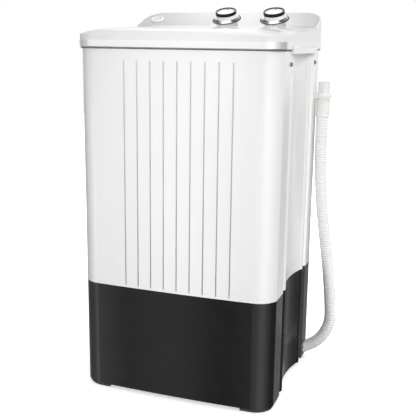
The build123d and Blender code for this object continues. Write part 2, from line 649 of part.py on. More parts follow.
with BuildPart() as lint_filter_frame:
    with BuildSketch(CHANNEL.offset(CHANNEL_HIGH - 109)):
        with Locations((0, -12.5)):
            RectangleRounded(59, 18, 3)
            RectangleRounded(53, 12, 2, mode=Mode.SUBTRACT)
    extrude(amount=4)
    with BuildSketch(CHANNEL.offset(CHANNEL_HIGH - 9)):
        with Locations((0, -12.5)):
            RectangleRounded(59, 18, 3)
            RectangleRounded(53, 12, 2, mode=Mode.SUBTRACT)
    extrude(amount=8)
    with BuildSketch(CHANNEL.offset(CHANNEL_HIGH - 107)):
        with Locations([(x, -12.5 + y) for x in (-27.5, 27.5) for y in (-7, 7)]):
            Rectangle(3, 3)
    extrude(amount=100)
save(lint_filter_frame.part, "lint_filter_frame")

with BuildPart() as lint_filter_bag:
    with BuildSketch(CHANNEL.offset(CHANNEL_HIGH - 104)):
        with Locations((0, -12.5)):
            RectangleRounded(51, 11, 5)
            RectangleRounded(49, 9, 4, mode=Mode.SUBTRACT)
    extrude(amount=98)
save(lint_filter_bag.part, "lint_filter_bag")

with BuildPart() as bearing_housing:
    with BuildSketch(Plane.XZ.offset(-TUB_Y)):
        with BuildLine():
            Polyline(
                (BEARING_R, 252), (24, 252), (24, 286), (60, 294), (60, TUB_FLOOR_Z - 0.1),
                (19.5, TUB_FLOOR_Z - 0.1), (19.5, 305), (BEARING_R, 305), close=True,
            )
        make_face()
    revolve(axis=Axis((0, TUB_Y, 0), (0, 0, 1)))
save(bearing_housing.part, "bearing_housing")


with BuildPart() as shaft_bearings:
    for z_low in (256, 282):
        with Locations((0, TUB_Y, z_low + BEARING_H / 2)):
            Cylinder(BEARING_R, BEARING_H)
            Cylinder(SHAFT_R + RUN, BEARING_H, mode=Mode.SUBTRACT)
        for z_face in (z_low - 1, z_low + BEARING_H - 1):
            with BuildSketch(Plane.XY.offset(z_face)):
                with Locations((0, TUB_Y)):
                    Circle(13)
                    Circle(10, mode=Mode.SUBTRACT)
            extrude(amount=2, mode=Mode.SUBTRACT)
save(shaft_bearings.part, "shaft_bearings")

with BuildPart() as shaft_seal:
    with Locations((0, TUB_Y, 299)):
        Cylinder(BEARING_R, 8)
        Cylinder(SHAFT_R + RUN, 8, mode=Mode.SUBTRACT)
save(shaft_seal.part, "shaft_seal")

with BuildPart() as drive_shaft:
    with Locations((0, TUB_Y, (216 + 322) / 2)):
        Cylinder(SHAFT_R, 322 - 216)
    chamfer(drive_shaft.faces().sort_by(Axis.Z)[-1].edges(), length=1)
save(drive_shaft.part, "drive_shaft")


def pulley(x, y, radius, bore_r, spokes, name):
    """A V-groove pulley; spokes lightens its web with round holes."""
    middle = (PULLEY_LOW + PULLEY_HIGH) / 2
    with BuildPart() as wheel:
        with Locations((x, y, middle)):
            Cylinder(radius + 4, PULLEY_HIGH - PULLEY_LOW)
        with BuildSketch(Plane.XZ.offset(-y)):
            with BuildLine():
                Polyline(
                    (x + radius + 5, middle - 5.4), (x + radius - 5, middle - 3.4),
                    (x + radius - 5, middle + 3.4), (x + radius + 5, middle + 5.4), close=True,
                )
            make_face()
        revolve(axis=Axis((x, y, 0), (0, 0, 1)), mode=Mode.SUBTRACT)
        with Locations((x, y, middle)):
            if spokes:
                with PolarLocations(radius * 0.6, spokes):
                    Cylinder(radius * 0.2, PULLEY_HIGH, mode=Mode.SUBTRACT)
            Cylinder(bore_r, PULLEY_HIGH, mode=Mode.SUBTRACT)
    save(wheel.part, name)


BELT_HALF_H = 3.0
BELT_GAP = 0.3


def belt_loop(extra):
    """The belt's plan: the two pulley circles, grown by extra, joined by tangents."""
    reach = hypot(MOTOR_X, MOTOR_Y - TUB_Y)
    lean = acos((BIG_R - SMALL_R) / reach)
    along = atan2(MOTOR_Y - TUB_Y, MOTOR_X)
    big_r, small_r = BIG_R + extra, SMALL_R + extra

    def on_circle(x, y, radius, angle):
        return (x + radius * cos(angle), y + radius * sin(angle))

    left, right = along + lean, along - lean
    with BuildSketch() as loop:
        with BuildLine():
            Line(on_circle(0, TUB_Y, big_r, left), on_circle(MOTOR_X, MOTOR_Y, small_r, left))
            ThreePointArc(
                on_circle(MOTOR_X, MOTOR_Y, small_r, left), on_circle(MOTOR_X, MOTOR_Y, small_r, along),
                on_circle(MOTOR_X, MOTOR_Y, small_r, right),
            )
            Line(on_circle(MOTOR_X, MOTOR_Y, small_r, right), on_circle(0, TUB_Y, big_r, right))
            ThreePointArc(
                on_circle(0, TUB_Y, big_r, right), on_circle(0, TUB_Y, big_r, along + pi),
                on_circle(0, TUB_Y, big_r, left),
            )
        make_face()
    return loop.sketch


with BuildPart() as drive_belt:
    with BuildSketch(Plane.XY.offset((PULLEY_LOW + PULLEY_HIGH) / 2 - BELT_HALF_H)):
        add(belt_loop(3.5))
        add(belt_loop(-5 + BELT_GAP), mode=Mode.SUBTRACT)
    extrude(amount=2 * BELT_HALF_H)
save(drive_belt.part, "drive_belt")

with BuildPart() as pulley_nut:
    with BuildSketch(Plane.XY.offset(218)):
        with Locations((0, TUB_Y)):
            RegularPolygon(12, 6)
            Circle(SHAFT_R, mode=Mode.SUBTRACT)
    extrude(amount=8)
save(pulley_nut.part, "pulley_nut")

PULSATOR_LOW, PULSATOR_R, VANES = 307.0, 142.0, 6
with BuildPart() as pulsator_vanes:
    with BuildSketch(Plane.XY.offset(PULSATOR_LOW + 5)):
        with Locations((0, TUB_Y)):
            with PolarLocations(82, VANES):
                SlotOverall(88, 16)
    extrude(amount=13)
    fillet(pulsator_vanes.faces().filter_by(Plane.XY).sort_by(Axis.Z)[-VANES:].edges(), radius=4)

with BuildPart() as pulsator:
    with BuildSketch(Plane.XZ.offset(-TUB_Y)):
        with BuildLine():
            Polyline(
                (0, PULSATOR_LOW), (PULSATOR_R - 10, PULSATOR_LOW), (PULSATOR_R, PULSATOR_LOW + 4),
                (PULSATOR_R, PULSATOR_LOW + 7), (60, PULSATOR_LOW + 9), (26, PULSATOR_LOW + 22),
                (0, PULSATOR_LOW + 24), close=True,
            )
        make_face()
    revolve(axis=Axis((0, TUB_Y, 0), (0, 0, 1)))
    add(pulsator_vanes.part)
    with Locations((0, TUB_Y, PULSATOR_LOW)):
        Cylinder(SHAFT_R, 30, mode=Mode.SUBTRACT)
    with Locations((0, TUB_Y, PULSATOR_LOW + 20)):
        Cylinder(14, 10, mode=Mode.SUBTRACT)
        Cylinder(3, 60, mode=Mode.SUBTRACT)
save(pulsator.part, "pulsator")

with BuildPart() as pulsator_cap:
    with BuildSketch(Plane.XY.offset(327.2)):
        with Locations((0, TUB_Y)):
            Circle(13.8)
    extrude(amount=6)
    fillet(pulsator_cap.faces().sort_by(Axis.Z)[-1].edges(), radius=4)
save(pulsator_cap.part, "pulsator_cap")

# ---- motor -------------------------------------------------------------------------
MOTOR_FEET = [(MOTOR_X + x, MOTOR_Y + y) for x in (-50, 50) for y in (-50, 50)]
MOTOR_SHAFT_R = 6.0
BRACKET_TOP = 92.0

with BuildPart() as motor_bracket:
    with BuildSketch(Plane.XZ.offset(-MOTOR_Y - 66)):
        with BuildLine():
            Polyline(
                (MOTOR_X - 78, 15.1), (MOTOR_X - 56, 15.1), (MOTOR_X - 56, 18), (MOTOR_X - 64, 18),
                (MOTOR_X - 64, BRACKET_TOP - 3), (MOTOR_X + 64, BRACKET_TOP - 3), (MOTOR_X + 64, 18),
                (MOTOR_X + 56, 18), (MOTOR_X + 56, 15.1), (MOTOR_X + 78, 15.1), (MOTOR_X + 78, 18),
                (MOTOR_X + 67, 18), (MOTOR_X + 67, BRACKET_TOP), (MOTOR_X - 67, BRACKET_TOP),
                (MOTOR_X - 67, 18), (MOTOR_X - 78, 18), close=True,
            )
        make_face()
    extrude(amount=132)
    with Locations([(x, y, BRACKET_TOP) for x, y in MOTOR_FEET]):
        Cylinder(5, 12, mode=Mode.SUBTRACT)
save(motor_bracket.part, "motor_bracket")

with BuildPart() as motor_mounts:
    with Locations([(x, y, BRACKET_TOP + 3.05) for x, y in MOTOR_FEET]):
        Cylinder(9, 6)
        with Locations((0, 0, -6)):
            Cylinder(4.9, 6)
save(motor_mounts.part, "motor_mounts")

with BuildPart() as motor_body:
    with Locations((MOTOR_X, MOTOR_Y, (MOTOR_LOW + MOTOR_HIGH) / 2)):
        Cylinder(MOTOR_R, MOTOR_HIGH - MOTOR_LOW - 40)
    with Locations((MOTOR_X, MOTOR_Y, MOTOR_LOW + 12)):
        Cylinder(MOTOR_R - 6, 24)
    with Locations((MOTOR_X, MOTOR_Y, MOTOR_HIGH - 12)):
        Cylinder(MOTOR_R - 6, 24)
    with BuildSketch(Plane.XY.offset(MOTOR_LOW + 0.2)):
        with Locations((MOTOR_X, MOTOR_Y)):
            RectangleRounded(124, 124, 14)
    extrude(amount=5)
    with Locations((MOTOR_X, MOTOR_Y, MOTOR_LOW + 12)):
        with PolarLocations(MOTOR_R - 8, 12):
            Box(16, 4, 12, mode=Mode.SUBTRACT)
    with Locations((MOTOR_X, MOTOR_Y, MOTOR_HIGH)):
        Cylinder(MOTOR_SHAFT_R + RUN, 120, mode=Mode.SUBTRACT)
save(motor_body.part, "motor_body")

with BuildPart() as motor_shaft:
    with Locations((MOTOR_X, MOTOR_Y, (150 + 246) / 2)):
        Cylinder(MOTOR_SHAFT_R, 96)
save(motor_shaft.part, "motor_shaft")

with BuildPart() as motor_fan:
    with Locations((MOTOR_X, MOTOR_Y, 211)):
        Cylinder(44, 2)
        Cylinder(12, 10)
        with PolarLocations(27, 10):
            with Locations((0, 0, 4)):
                Box(32, 2, 8)
        Cylinder(MOTOR_SHAFT_R, 30, mode=Mode.SUBTRACT)
save(motor_fan.part, "motor_fan")

with BuildPart() as capacitor:
    with Locations((150, -120, 15.1 + 35)):
        Cylinder(20, 70)
    fillet(capacitor.faces().sort_by(Axis.Z)[-1].edges(), radius=3)
    with Locations([(144, -120, 88), (156, -120, 88)]):
        Box(1, 5, 8)
save(capacitor.part, "capacitor")

# ---- drain valve -------------------------------------------------------------------
VALVE_LOW, VALVE_HIGH, VALVE_R = 190.0, 262.0, 24.0
PLUNGER_Z = 203.0
SPRING_LOW, SPRING_HIGH = 206.0, 256.0
STRAP_TOP = 838.0
PIPE_R = 10.0

with BuildPart() as drain_valve_body:
    with Locations((VALVE_X, VALVE_Y, (VALVE_LOW + VALVE_HIGH) / 2)):
        Cylinder(VALVE_R, VALVE_HIGH - VALVE_LOW)
    with Locations((VALVE_X, VALVE_Y, VALVE_LOW + 5 + (VALVE_HIGH - VALVE_LOW) / 2)):
        Cylinder(VALVE_R - 3, VALVE_HIGH - VALVE_LOW, mode=Mode.SUBTRACT)
    with Locations((VALVE_X, VALVE_Y, VALVE_LOW)):
        Cylinder(PIPE_R, 30, mode=Mode.SUBTRACT)
    with Locations((VALVE_X, VALVE_Y, VALVE_LOW - 5)):
        Cylinder(PIPE_R + 2.5, 10)
        Cylinder(PIPE_R, 14, mode=Mode.SUBTRACT)
    with Locations((VALVE_X, VALVE_Y, VALVE_HIGH + 2.05)):
        Cylinder(VALVE_R + 1, 4)
        Cylinder(3.2, 6, mode=Mode.SUBTRACT)
save(drain_valve_body.part, "drain_valve_body")

with BuildPart() as drain_valve_plunger:
    with Locations((VALVE_X, VALVE_Y, PLUNGER_Z)):
        Cylinder(15, 6)
    with Locations((VALVE_X, VALVE_Y, PLUNGER_Z - 4)):
        Cylinder(17, 3)
    with Locations((VALVE_X, VALVE_Y, (PLUNGER_Z + 290) / 2)):
        Cylinder(3, 290 - PLUNGER_Z)
save(drain_valve_plunger.part, "drain_valve_plunger")

with BuildPart() as valve_spring:
    with BuildLine() as coil:
        Helix(
            pitch=8, height=SPRING_HIGH - SPRING_LOW, radius=9, center=(VALVE_X, VALVE_Y, SPRING_LOW + 1.2),
        )
    with BuildSketch(Plane(origin=coil.line @ 0, z_dir=coil.line % 0)):
        Circle(1)
    sweep(is_frenet=True)
save(valve_spring.part, "valve_spring")

with BuildPart() as valve_pull_strap:
    with Locations((VALVE_X, VALVE_Y, (290 + STRAP_TOP) / 2)):
        Box(10, 2, STRAP_TOP - 290)
    with Locations((VALVE_X, VALVE_Y, STRAP_TOP - 5)):
        Box(14, 5, 10)
save(valve_pull_strap.part, "valve_pull_strap")

# the sump duct drops from the hole in the tub's floor and runs to the valve's side
DUCT_LOW, DUCT_HIGH = 234.0, 252.0
duct_run = hypot(VALVE_X - SUMP_X, VALVE_Y - SUMP_Y)
duct_angle = degrees(atan2(VALVE_Y - SUMP_Y, VALVE_X - SUMP_X))
DUCT_MIDDLE = ((SUMP_X + VALVE_X) / 2, (SUMP_Y + VALVE_Y) / 2)
with BuildPart() as sump_duct:
    with Locations((SUMP_X, SUMP_Y, (DUCT_LOW + TUB_FLOOR_Z) / 2)):
        Cylinder(17, TUB_FLOOR_Z - DUCT_LOW - 0.2)
    with BuildSketch(Plane.XY.offset(DUCT_LOW)):
        with Locations(DUCT_MIDDLE):
            SlotCenterToCenter(duct_run, 30, rotation=duct_angle)
    extrude(amount=DUCT_HIGH - DUCT_LOW)
    with Locations((SUMP_X, SUMP_Y, (DUCT_LOW + TUB_FLOOR_Z) / 2 + 3)):
        Cylinder(SUMP_R, TUB_FLOOR_Z - DUCT_LOW, mode=Mode.SUBTRACT)
    with BuildSketch(Plane.XY.offset(DUCT_LOW + 3)):
        with Locations(DUCT_MIDDLE):
            SlotCenterToCenter(duct_run, 24, rotation=duct_angle)
    extrude(amount=DUCT_HIGH - DUCT_LOW - 6, mode=Mode.SUBTRACT)
    with Locations((VALVE_X, VALVE_Y, DUCT_LOW)):
        Cylinder(VALVE_R + 0.1, 60, mode=Mode.SUBTRACT)
save(sump_duct.part, "sump_duct")

PIPE_END_X, PIPE_Z = 222.0, 27.5
with BuildPart() as drain_pipe:
    with BuildLine() as pipe_path:
        FilletPolyline(
            (VALVE_X, VALVE_Y, VALVE_LOW - 10.1), (VALVE_X, OUTLET_Y, PIPE_Z),
            (PIPE_END_X - 0.1, OUTLET_Y, PIPE_Z), radius=26,
        )
    with BuildSketch(Plane(origin=pipe_path.line @ 0, z_dir=pipe_path.line % 0)):
        Circle(PIPE_R)
        Circle(PIPE_R - 2, mode=Mode.SUBTRACT)
    sweep()
save(drain_pipe.part, "drain_pipe")

SPIGOT_R = 13.0
with BuildPart() as drain_outlet:
    with BuildSketch(OUTLET_PLANE):
        Circle(SPIGOT_R)
    extrude(amount=OUTLET_LENGTH - 0.2)
    with BuildSketch(OUTLET_PLANE.offset(1)):
        Circle(OUTLET_HOLE_R - 0.2)
    extrude(amount=4)
    with BuildSketch(Plane.YZ.offset(PIPE_END_X)):
        with Locations((OUTLET_Y, PIPE_Z)):
            Circle(SPIGOT_R)
    extrude(amount=8)
    with BuildSketch(OUTLET_PLANE):
        Circle(SPIGOT_R - 3)
    extrude(amount=20, mode=Mode.SUBTRACT)
    with BuildSketch(Plane.YZ.offset(PIPE_END_X - 1)):
        with Locations((OUTLET_Y, PIPE_Z)):
            Circle(PIPE_R - 2)
    extrude(amount=10, mode=Mode.SUBTRACT)
save(drain_outlet.part, "drain_outlet")

# ---- drain hose --------------------------------------------------------------------
route = [(x, OUTLET_Y, z) for x, z in HOSE_ROUTE]


def bend_radii(points):
    """One radius for each corner: as large as the shorter run beside it allows."""
    radii = []
    for before, corner, after in zip(points, points[1:], points[2:]):
        run_in = Vector(*corner) - Vector(*before)
        run_out = Vector(*after) - Vector(*corner)
        turn = radians(run_in.get_angle(run_out))
        radii.append(0.45 * min(run_in.length, run_out.length) / tan(turn / 2))
    return radii


radii = bend_radii(route)
print("hose bend radii", [round(r) for r in radii])

with BuildPart() as drain_hose:
    with BuildLine() as hose_path:
        FilletPolyline(*route, radius=radii)
    with BuildSketch(Plane(origin=hose_path.line @ 0, z_dir=hose_path.line % 0)):
        Circle(HOSE_R)
    sweep()
save(drain_hose.part, "drain_hose")
hose_length = sum(edge.length for edge in hose_path.edges())
print("hose length", round(hose_length, 1), "by volume", round(drain_hose.part.volume / (pi * HOSE_R**2), 1))

hose_end = Plane(origin=route[-1], z_dir=hose_path.line % 1)

with BuildPart() as hose_cuff:
    with BuildSketch(hose_end):
        Circle(CUFF_R)
        Circle(HOSE_SPOUT_R - 2.2, mode=Mode.SUBTRACT)
    extrude(amount=CUFF_LENGTH)
save(hose_cuff.part, "hose_cuff")

with BuildPart() as hose_spout:
    with BuildSketch(hose_end.offset(CUFF_LENGTH)):
        Circle(HOSE_SPOUT_R)
        Circle(HOSE_SPOUT_R - 2.2, mode=Mode.SUBTRACT)
    extrude(amount=SPOUT_LENGTH)
save(hose_spout.part, "hose_spout")

CLIP_R, CLIP_H = CUFF_R + 1.8, 6.0
clip_plane = Plane(origin=hose_end.offset(CUFF_LENGTH - 10).origin, z_dir=hose_end.z_dir)
with BuildPart() as hose_clip:
    with BuildSketch(clip_plane):
        Circle(CLIP_R)
        Circle(CUFF_R, mode=Mode.SUBTRACT)
    extrude(amount=CLIP_H)
save(hose_clip.part, "hose_clip")

# a saddle on the cabinet's side that the clip snaps into
with BuildPart() as hose_hook:
    with Locations((BODY_HALF_W + 0.1, OUTLET_Y, clip_plane.origin.Z + CLIP_H / 2)):
        Box(9, 30, 12, align=(Align.MIN, Align.CENTER, Align.CENTER))
    fillet(hose_hook.edges().filter_by(Axis.Z), radius=2)
    with BuildSketch(clip_plane.offset(-20)):
        Circle(CLIP_R + 0.2)
    extrude(amount=50, mode=Mode.SUBTRACT)
save(hose_hook.part, "hose_hook")

# ---- the two pulleys ---------------------------------------------------------------
pulley(0, TUB_Y, BIG_R, SHAFT_R, 6, "drive_pulley")
pulley(MOTOR_X, MOTOR_Y, SMALL_R, MOTOR_SHAFT_R, 0, "motor_pulley")
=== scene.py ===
"""The looks of the portable mini washer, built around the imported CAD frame. Metres, +Z up, front at -Y."""

import json
import math

import bmesh
import bpy
from mathutils import Matrix, Vector


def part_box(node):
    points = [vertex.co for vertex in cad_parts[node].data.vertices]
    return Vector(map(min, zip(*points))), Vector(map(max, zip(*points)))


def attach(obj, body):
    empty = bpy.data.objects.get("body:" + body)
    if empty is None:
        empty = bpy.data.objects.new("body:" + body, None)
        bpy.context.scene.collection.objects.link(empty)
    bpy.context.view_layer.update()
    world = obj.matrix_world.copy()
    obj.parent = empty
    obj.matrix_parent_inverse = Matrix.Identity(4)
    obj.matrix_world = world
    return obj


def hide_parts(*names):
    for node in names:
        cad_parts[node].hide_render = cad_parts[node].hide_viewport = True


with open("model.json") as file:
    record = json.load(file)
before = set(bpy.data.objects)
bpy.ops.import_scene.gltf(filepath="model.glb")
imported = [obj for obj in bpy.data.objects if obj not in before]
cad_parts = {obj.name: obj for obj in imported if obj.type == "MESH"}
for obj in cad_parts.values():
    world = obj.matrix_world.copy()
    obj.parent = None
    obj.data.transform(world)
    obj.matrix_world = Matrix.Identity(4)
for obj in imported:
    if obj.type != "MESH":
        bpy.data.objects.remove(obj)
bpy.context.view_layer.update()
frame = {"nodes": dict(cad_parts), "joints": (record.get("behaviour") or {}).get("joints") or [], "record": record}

MM = 0.001
NODES = frame["nodes"]

# ---------------------------------------------------------------- camera

CAMERA_PLACE = Vector((0.612, -1.686, 0.821))
CAMERA_TURN = math.radians(19.64)
CAMERA_DIP = math.radians(12.68)
CAMERA_ROLL = math.radians(0.78)
CAMERA_LENS, CAMERA_SENSOR = 63.64, 36


def make_camera():
    """The camera at the front right, a little above the rim, looking slightly down."""
    ahead = Vector((
        -math.sin(CAMERA_TURN) * math.cos(CAMERA_DIP),
        math.cos(CAMERA_TURN) * math.cos(CAMERA_DIP),
        -math.sin(CAMERA_DIP),
    ))
    level = Vector((math.cos(CAMERA_TURN), math.sin(CAMERA_TURN), 0))
    above = level.cross(ahead)
    right = level * math.cos(CAMERA_ROLL) + above * math.sin(CAMERA_ROLL)
    up = above * math.cos(CAMERA_ROLL) - level * math.sin(CAMERA_ROLL)
    camera = bpy.data.objects.new("camera", bpy.data.cameras.new("camera"))
    camera.data.lens = CAMERA_LENS
    camera.data.sensor_width = CAMERA_SENSOR
    axes = Matrix((right, up, -ahead)).transposed().to_4x4()
    camera.matrix_world = Matrix.Translation(CAMERA_PLACE) @ axes
    bpy.context.scene.collection.objects.link(camera)
    bpy.context.scene.camera = camera


# ---------------------------------------------------------------- node helpers

def make_material(name="finish"):
    """A new material with its node tree and its principled shader."""
    material = bpy.data.materials.new(name)
    material.use_nodes = True
    tree = material.node_tree
    return material, tree, tree.nodes["Principled BSDF"]


def noise(tree, scale, detail=3.0, stretch=(1, 1, 1), distortion=0.0):
    """Noise over the object's own coordinates, squeezed by stretch. Scale is in features per metre."""
    where = tree.nodes.new("ShaderNodeTexCoord")
    mapping = tree.nodes.new("ShaderNodeMapping")
    mapping.inputs["Scale"].default_value = stretch
    texture = tree.nodes.new("ShaderNodeTexNoise")
    texture.inputs["Scale"].default_value = scale
    texture.inputs["Detail"].default_value = detail
    texture.inputs["Distortion"].default_value = distortion
    tree.links.new(where.outputs["Object"], mapping.inputs["Vector"])
    tree.links.new(mapping.outputs["Vector"], texture.inputs["Vector"])
    return texture.outputs["Fac"]


NOISE_LOW, NOISE_HIGH = 0.3, 0.7


def spread(tree, value, low, high):
    """A noise, which mostly lies between its usual low and high, mapped to low..high."""
    node = tree.nodes.new("ShaderNodeMapRange")
    node.inputs["From Min"].default_value = NOISE_LOW
    node.inputs["From Max"].default_value = NOISE_HIGH
    node.inputs["To Min"].default_value = low
    node.inputs["To Max"].default_value = high
    tree.links.new(value, node.inputs["Value"])
    return node.outputs["Result"]


def tint(tree, value, first, second):
    """A colour between two, by a 0..1 value."""
    node = tree.nodes.new("ShaderNodeMix")
    node.data_type = "RGBA"
    node.inputs["A"].default_value = (*first, 1)
    node.inputs["B"].default_value = (*second, 1)
    tree.links.new(value, node.inputs["Factor"])
    return node.outputs["Result"]


def bump(tree, shader, height, depth, under=None):
    """Adds relief of that depth in mm, on top of an earlier bump if one is given."""
    node = tree.nodes.new("ShaderNodeBump")
    node.inputs["Distance"].default_value = depth * MM
    node.inputs["Strength"].default_value = 1.0
    tree.links.new(height, node.inputs["Height"])
    if under is not None:
        tree.links.new(under, node.inputs["Normal"])
    tree.links.new(node.outputs["Normal"], shader.inputs["Normal"])
    return node.outputs["Normal"]


def shade(colour, amount):
    """The colour made lighter or darker by a share."""
    return tuple(min(1.0, channel * (1 + amount)) for channel in colour)


# ---------------------------------------------------------------- materials
# noise scales are features per metre, and peel, grain and other relief is in mm

def moulded(
    colour, roughness, mottle=0.02, swirl=0.02, grain=0.0, peel=0.004, coat=0.0, specular=0.5, pearl=0.0,
):
    """Moulded plastic: faint flow mottling, uneven gloss, orange peel and, if asked, an eroded grain."""
    material, tree, shader = make_material()
    flow = spread(tree, noise(tree, 9, 4, (1, 1, 0.35), 0.6), 0, 1)
    mottled = tint(tree, flow, shade(colour, -mottle), shade(colour, mottle))
    tree.links.new(mottled, shader.inputs["Base Color"])
    gloss = spread(tree, noise(tree, 38, 5), roughness - swirl, roughness + swirl)
    tree.links.new(gloss, shader.inputs["Roughness"])
    skin = bump(tree, shader, noise(tree, 160, 1), peel)
    if grain:
        bump(tree, shader, noise(tree, 2600, 2), grain, skin)
    shader.inputs["Specular IOR Level"].default_value = specular
    shader.inputs["Metallic"].default_value = pearl
    shader.inputs["Coat Weight"].default_value = coat
    shader.inputs["Coat Roughness"].default_value = 0.05
    return material


def plated(colour, roughness):
    """Bright plating with faint smears."""
    material, tree, shader = make_material()
    smear = noise(tree, 60, 5, (1, 1, 0.3), 1.2)
    dulled = tint(tree, spread(tree, smear, 0, 1), shade(colour, -0.06), colour)
    tree.links.new(dulled, shader.inputs["Base Color"])
    tree.links.new(spread(tree, smear, roughness * 0.6, roughness * 1.5), shader.inputs["Roughness"])
    bump(tree, shader, noise(tree, 300, 1), 0.001)
    shader.inputs["Metallic"].default_value = 1.0
    return material


def brushed(colour, roughness):
    """Drawn or ground metal: fine upright streaks over broad stains."""
    material, tree, shader = make_material()
    streak = noise(tree, 900, 3, (1, 1, 1 / 14))
    stain = spread(tree, noise(tree, 30, 4), 0, 1)
    tree.links.new(tint(tree, stain, shade(colour, -0.12), shade(colour, 0.06)), shader.inputs["Base Color"])
    tree.links.new(spread(tree, streak, roughness - 0.08, roughness + 0.1), shader.inputs["Roughness"])
    bump(tree, shader, streak, 0.006)
    shader.inputs["Metallic"].default_value = 1.0
    return material


def cast(colour):
    """Die-cast alloy with a sandy skin."""
    material, tree, shader = make_material()
    skin = noise(tree, 420, 5)
    cloud = spread(tree, noise(tree, 25, 4), 0, 1)
    tree.links.new(tint(tree, cloud, shade(colour, -0.15), colour), shader.inputs["Base Color"])
    tree.links.new(spread(tree, skin, 0.4, 0.62), shader.inputs["Roughness"])
    bump(tree, shader, skin, 0.05)
    shader.inputs["Metallic"].default_value = 1.0
    return material


def rubber(colour, roughness=0.7):
    """Rubber: matt, with a dusty bloom and a fine pitted skin."""
    material, tree, shader = make_material()
    bloom = spread(tree, noise(tree, 45, 6), 0, 1)
    tree.links.new(tint(tree, bloom, colour, shade(colour, 0.5)), shader.inputs["Base Color"])
    worn = spread(tree, noise(tree, 120, 4), roughness - 0.08, roughness + 0.08)
    tree.links.new(worn, shader.inputs["Roughness"])
    bump(tree, shader, noise(tree, 1500, 3), 0.02)
    return material


def woven(colour, pitch):
    """Fine nylon net: two crossed sets of raised threads with painted shade in the gaps between them."""
    material, tree, shader = make_material()
    where = tree.nodes.new("ShaderNodeTexCoord")
    threads = []
    for direction in ("X", "Z"):
        wave = tree.nodes.new("ShaderNodeTexWave")
        wave.bands_direction = direction
        wave.inputs["Scale"].default_value = 1 / (pitch * MM * math.pi)
        tree.links.new(where.outputs["Object"], wave.inputs["Vector"])
        threads.append(wave.outputs["Fac"])
    both = tree.nodes.new("ShaderNodeMath")
    both.operation = "MAXIMUM"
    tree.links.new(threads[0], both.inputs[0])
    tree.links.new(threads[1], both.inputs[1])
    # the darker colour in the gaps between the threads is painted shade
    tree.links.new(tint(tree, both.outputs[0], shade(colour, -0.35), colour), shader.inputs["Base Color"])
    shader.inputs["Roughness"].default_value = 0.6
    shader.inputs["Sheen Weight"].default_value = 0.2
    bump(tree, shader, both.outputs[0], 0.15)
    return material


def hose_plastic(colour):
    """Half-clear soft plastic of the drain hose."""
    material, tree, shader = make_material()
    cloud = spread(tree, noise(tree, 22, 4), 0, 1)
    tree.links.new(tint(tree, cloud, shade(colour, -0.03), colour), shader.inputs["Base Color"])
    tree.links.new(spread(tree, noise(tree, 90, 3), 0.26, 0.4), shader.inputs["Roughness"])
    shader.inputs["Subsurface Weight"].default_value = 0.12
    shader.inputs["Subsurface Radius"].default_value = (0.012, 0.012, 0.011)
    shader.inputs["Subsurface Scale"].default_value = 1.0
    bump(tree, shader, noise(tree, 260, 2), 0.01)
    return material


WHITE = (0.86, 0.86, 0.855)
GREY_WHITE = (0.80, 0.80, 0.795)
BRIGHT_WHITE = (0.88, 0.88, 0.88)

MATERIALS = {
    "cabinet_white": moulded(WHITE, 0.24, mottle=0.006, swirl=0.03, peel=0.005, coat=0.3),
    "deck_white": moulded(GREY_WHITE, 0.38, mottle=0.006, swirl=0.03, peel=0.0012, coat=0.6, specular=0.35),
    "panel_silver": moulded((0.56, 0.565, 0.56), 0.2, swirl=0.03, grain=0.003, peel=0.002, pearl=0.4),
    "rim_pearl": moulded(BRIGHT_WHITE, 0.29, mottle=0.004, peel=0.0002, pearl=0.8),
    "base_charcoal": moulded(
        (0.0062, 0.0062, 0.0058), 0.17, mottle=0.12, grain=0.002, peel=0.001, specular=0.24,
    ),
    "foot_black": rubber((0.015, 0.015, 0.015), 0.6),
    "chrome": plated((0.93, 0.93, 0.93), 0.05),
    "knob_white": moulded(BRIGHT_WHITE, 0.12, mottle=0.006, peel=0.001, coat=0.5),
    "knob_black": moulded((0.006, 0.006, 0.006), 0.22, mottle=0.1, peel=0.001, specular=0.3),
    "hose_white": hose_plastic((0.94, 0.94, 0.93)),
    "cuff_cream": hose_plastic((0.92, 0.91, 0.88)),
    "trim_white": moulded((0.86, 0.86, 0.85), 0.2, mottle=0.01, swirl=0.03, peel=0.002, coat=0.2),
    "tub_white": moulded((0.80, 0.83, 0.85), 0.35, mottle=0.01, swirl=0.04, peel=0.0005),
    "pulsator_blue": moulded((0.16, 0.30, 0.50), 0.2, mottle=0.05, swirl=0.04, peel=0.001, coat=0.3),
    "steel": brushed((0.58, 0.58, 0.57), 0.32),
    "alloy": cast((0.52, 0.53, 0.54)),
    "enamel": moulded((0.02, 0.02, 0.022), 0.3, mottle=0.2, swirl=0.05, grain=0.01, peel=0.01),
    "rubber": rubber((0.018, 0.018, 0.018)),
    "grey_plastic": moulded((0.22, 0.23, 0.24), 0.45, mottle=0.05, swirl=0.05, grain=0.012),
    "net": woven((0.62, 0.66, 0.70), 1.2),
    "inlet_white": moulded((0.95, 0.95, 0.945), 0.45, mottle=0.004, swirl=0.03, peel=0.001, specular=0.2),
    "screw_grey": moulded((0.2, 0.2, 0.2), 0.4, mottle=0.1, swirl=0.05),
    # painted shade: the grey lines laid in the cabinet's grooves
    "groove_shade_grey": moulded((0.58, 0.58, 0.57), 0.45, swirl=0.05, specular=0.2),
    # painted shadow: the dark strip laid under the rim's overhang
    "rim_shadow_grey": rubber((0.10, 0.10, 0.098), 0.6),
    "mark_dark": moulded((0.02, 0.02, 0.02), 0.3, mottle=0.1),
}
for finish, material in MATERIALS.items():
    material.name = finish

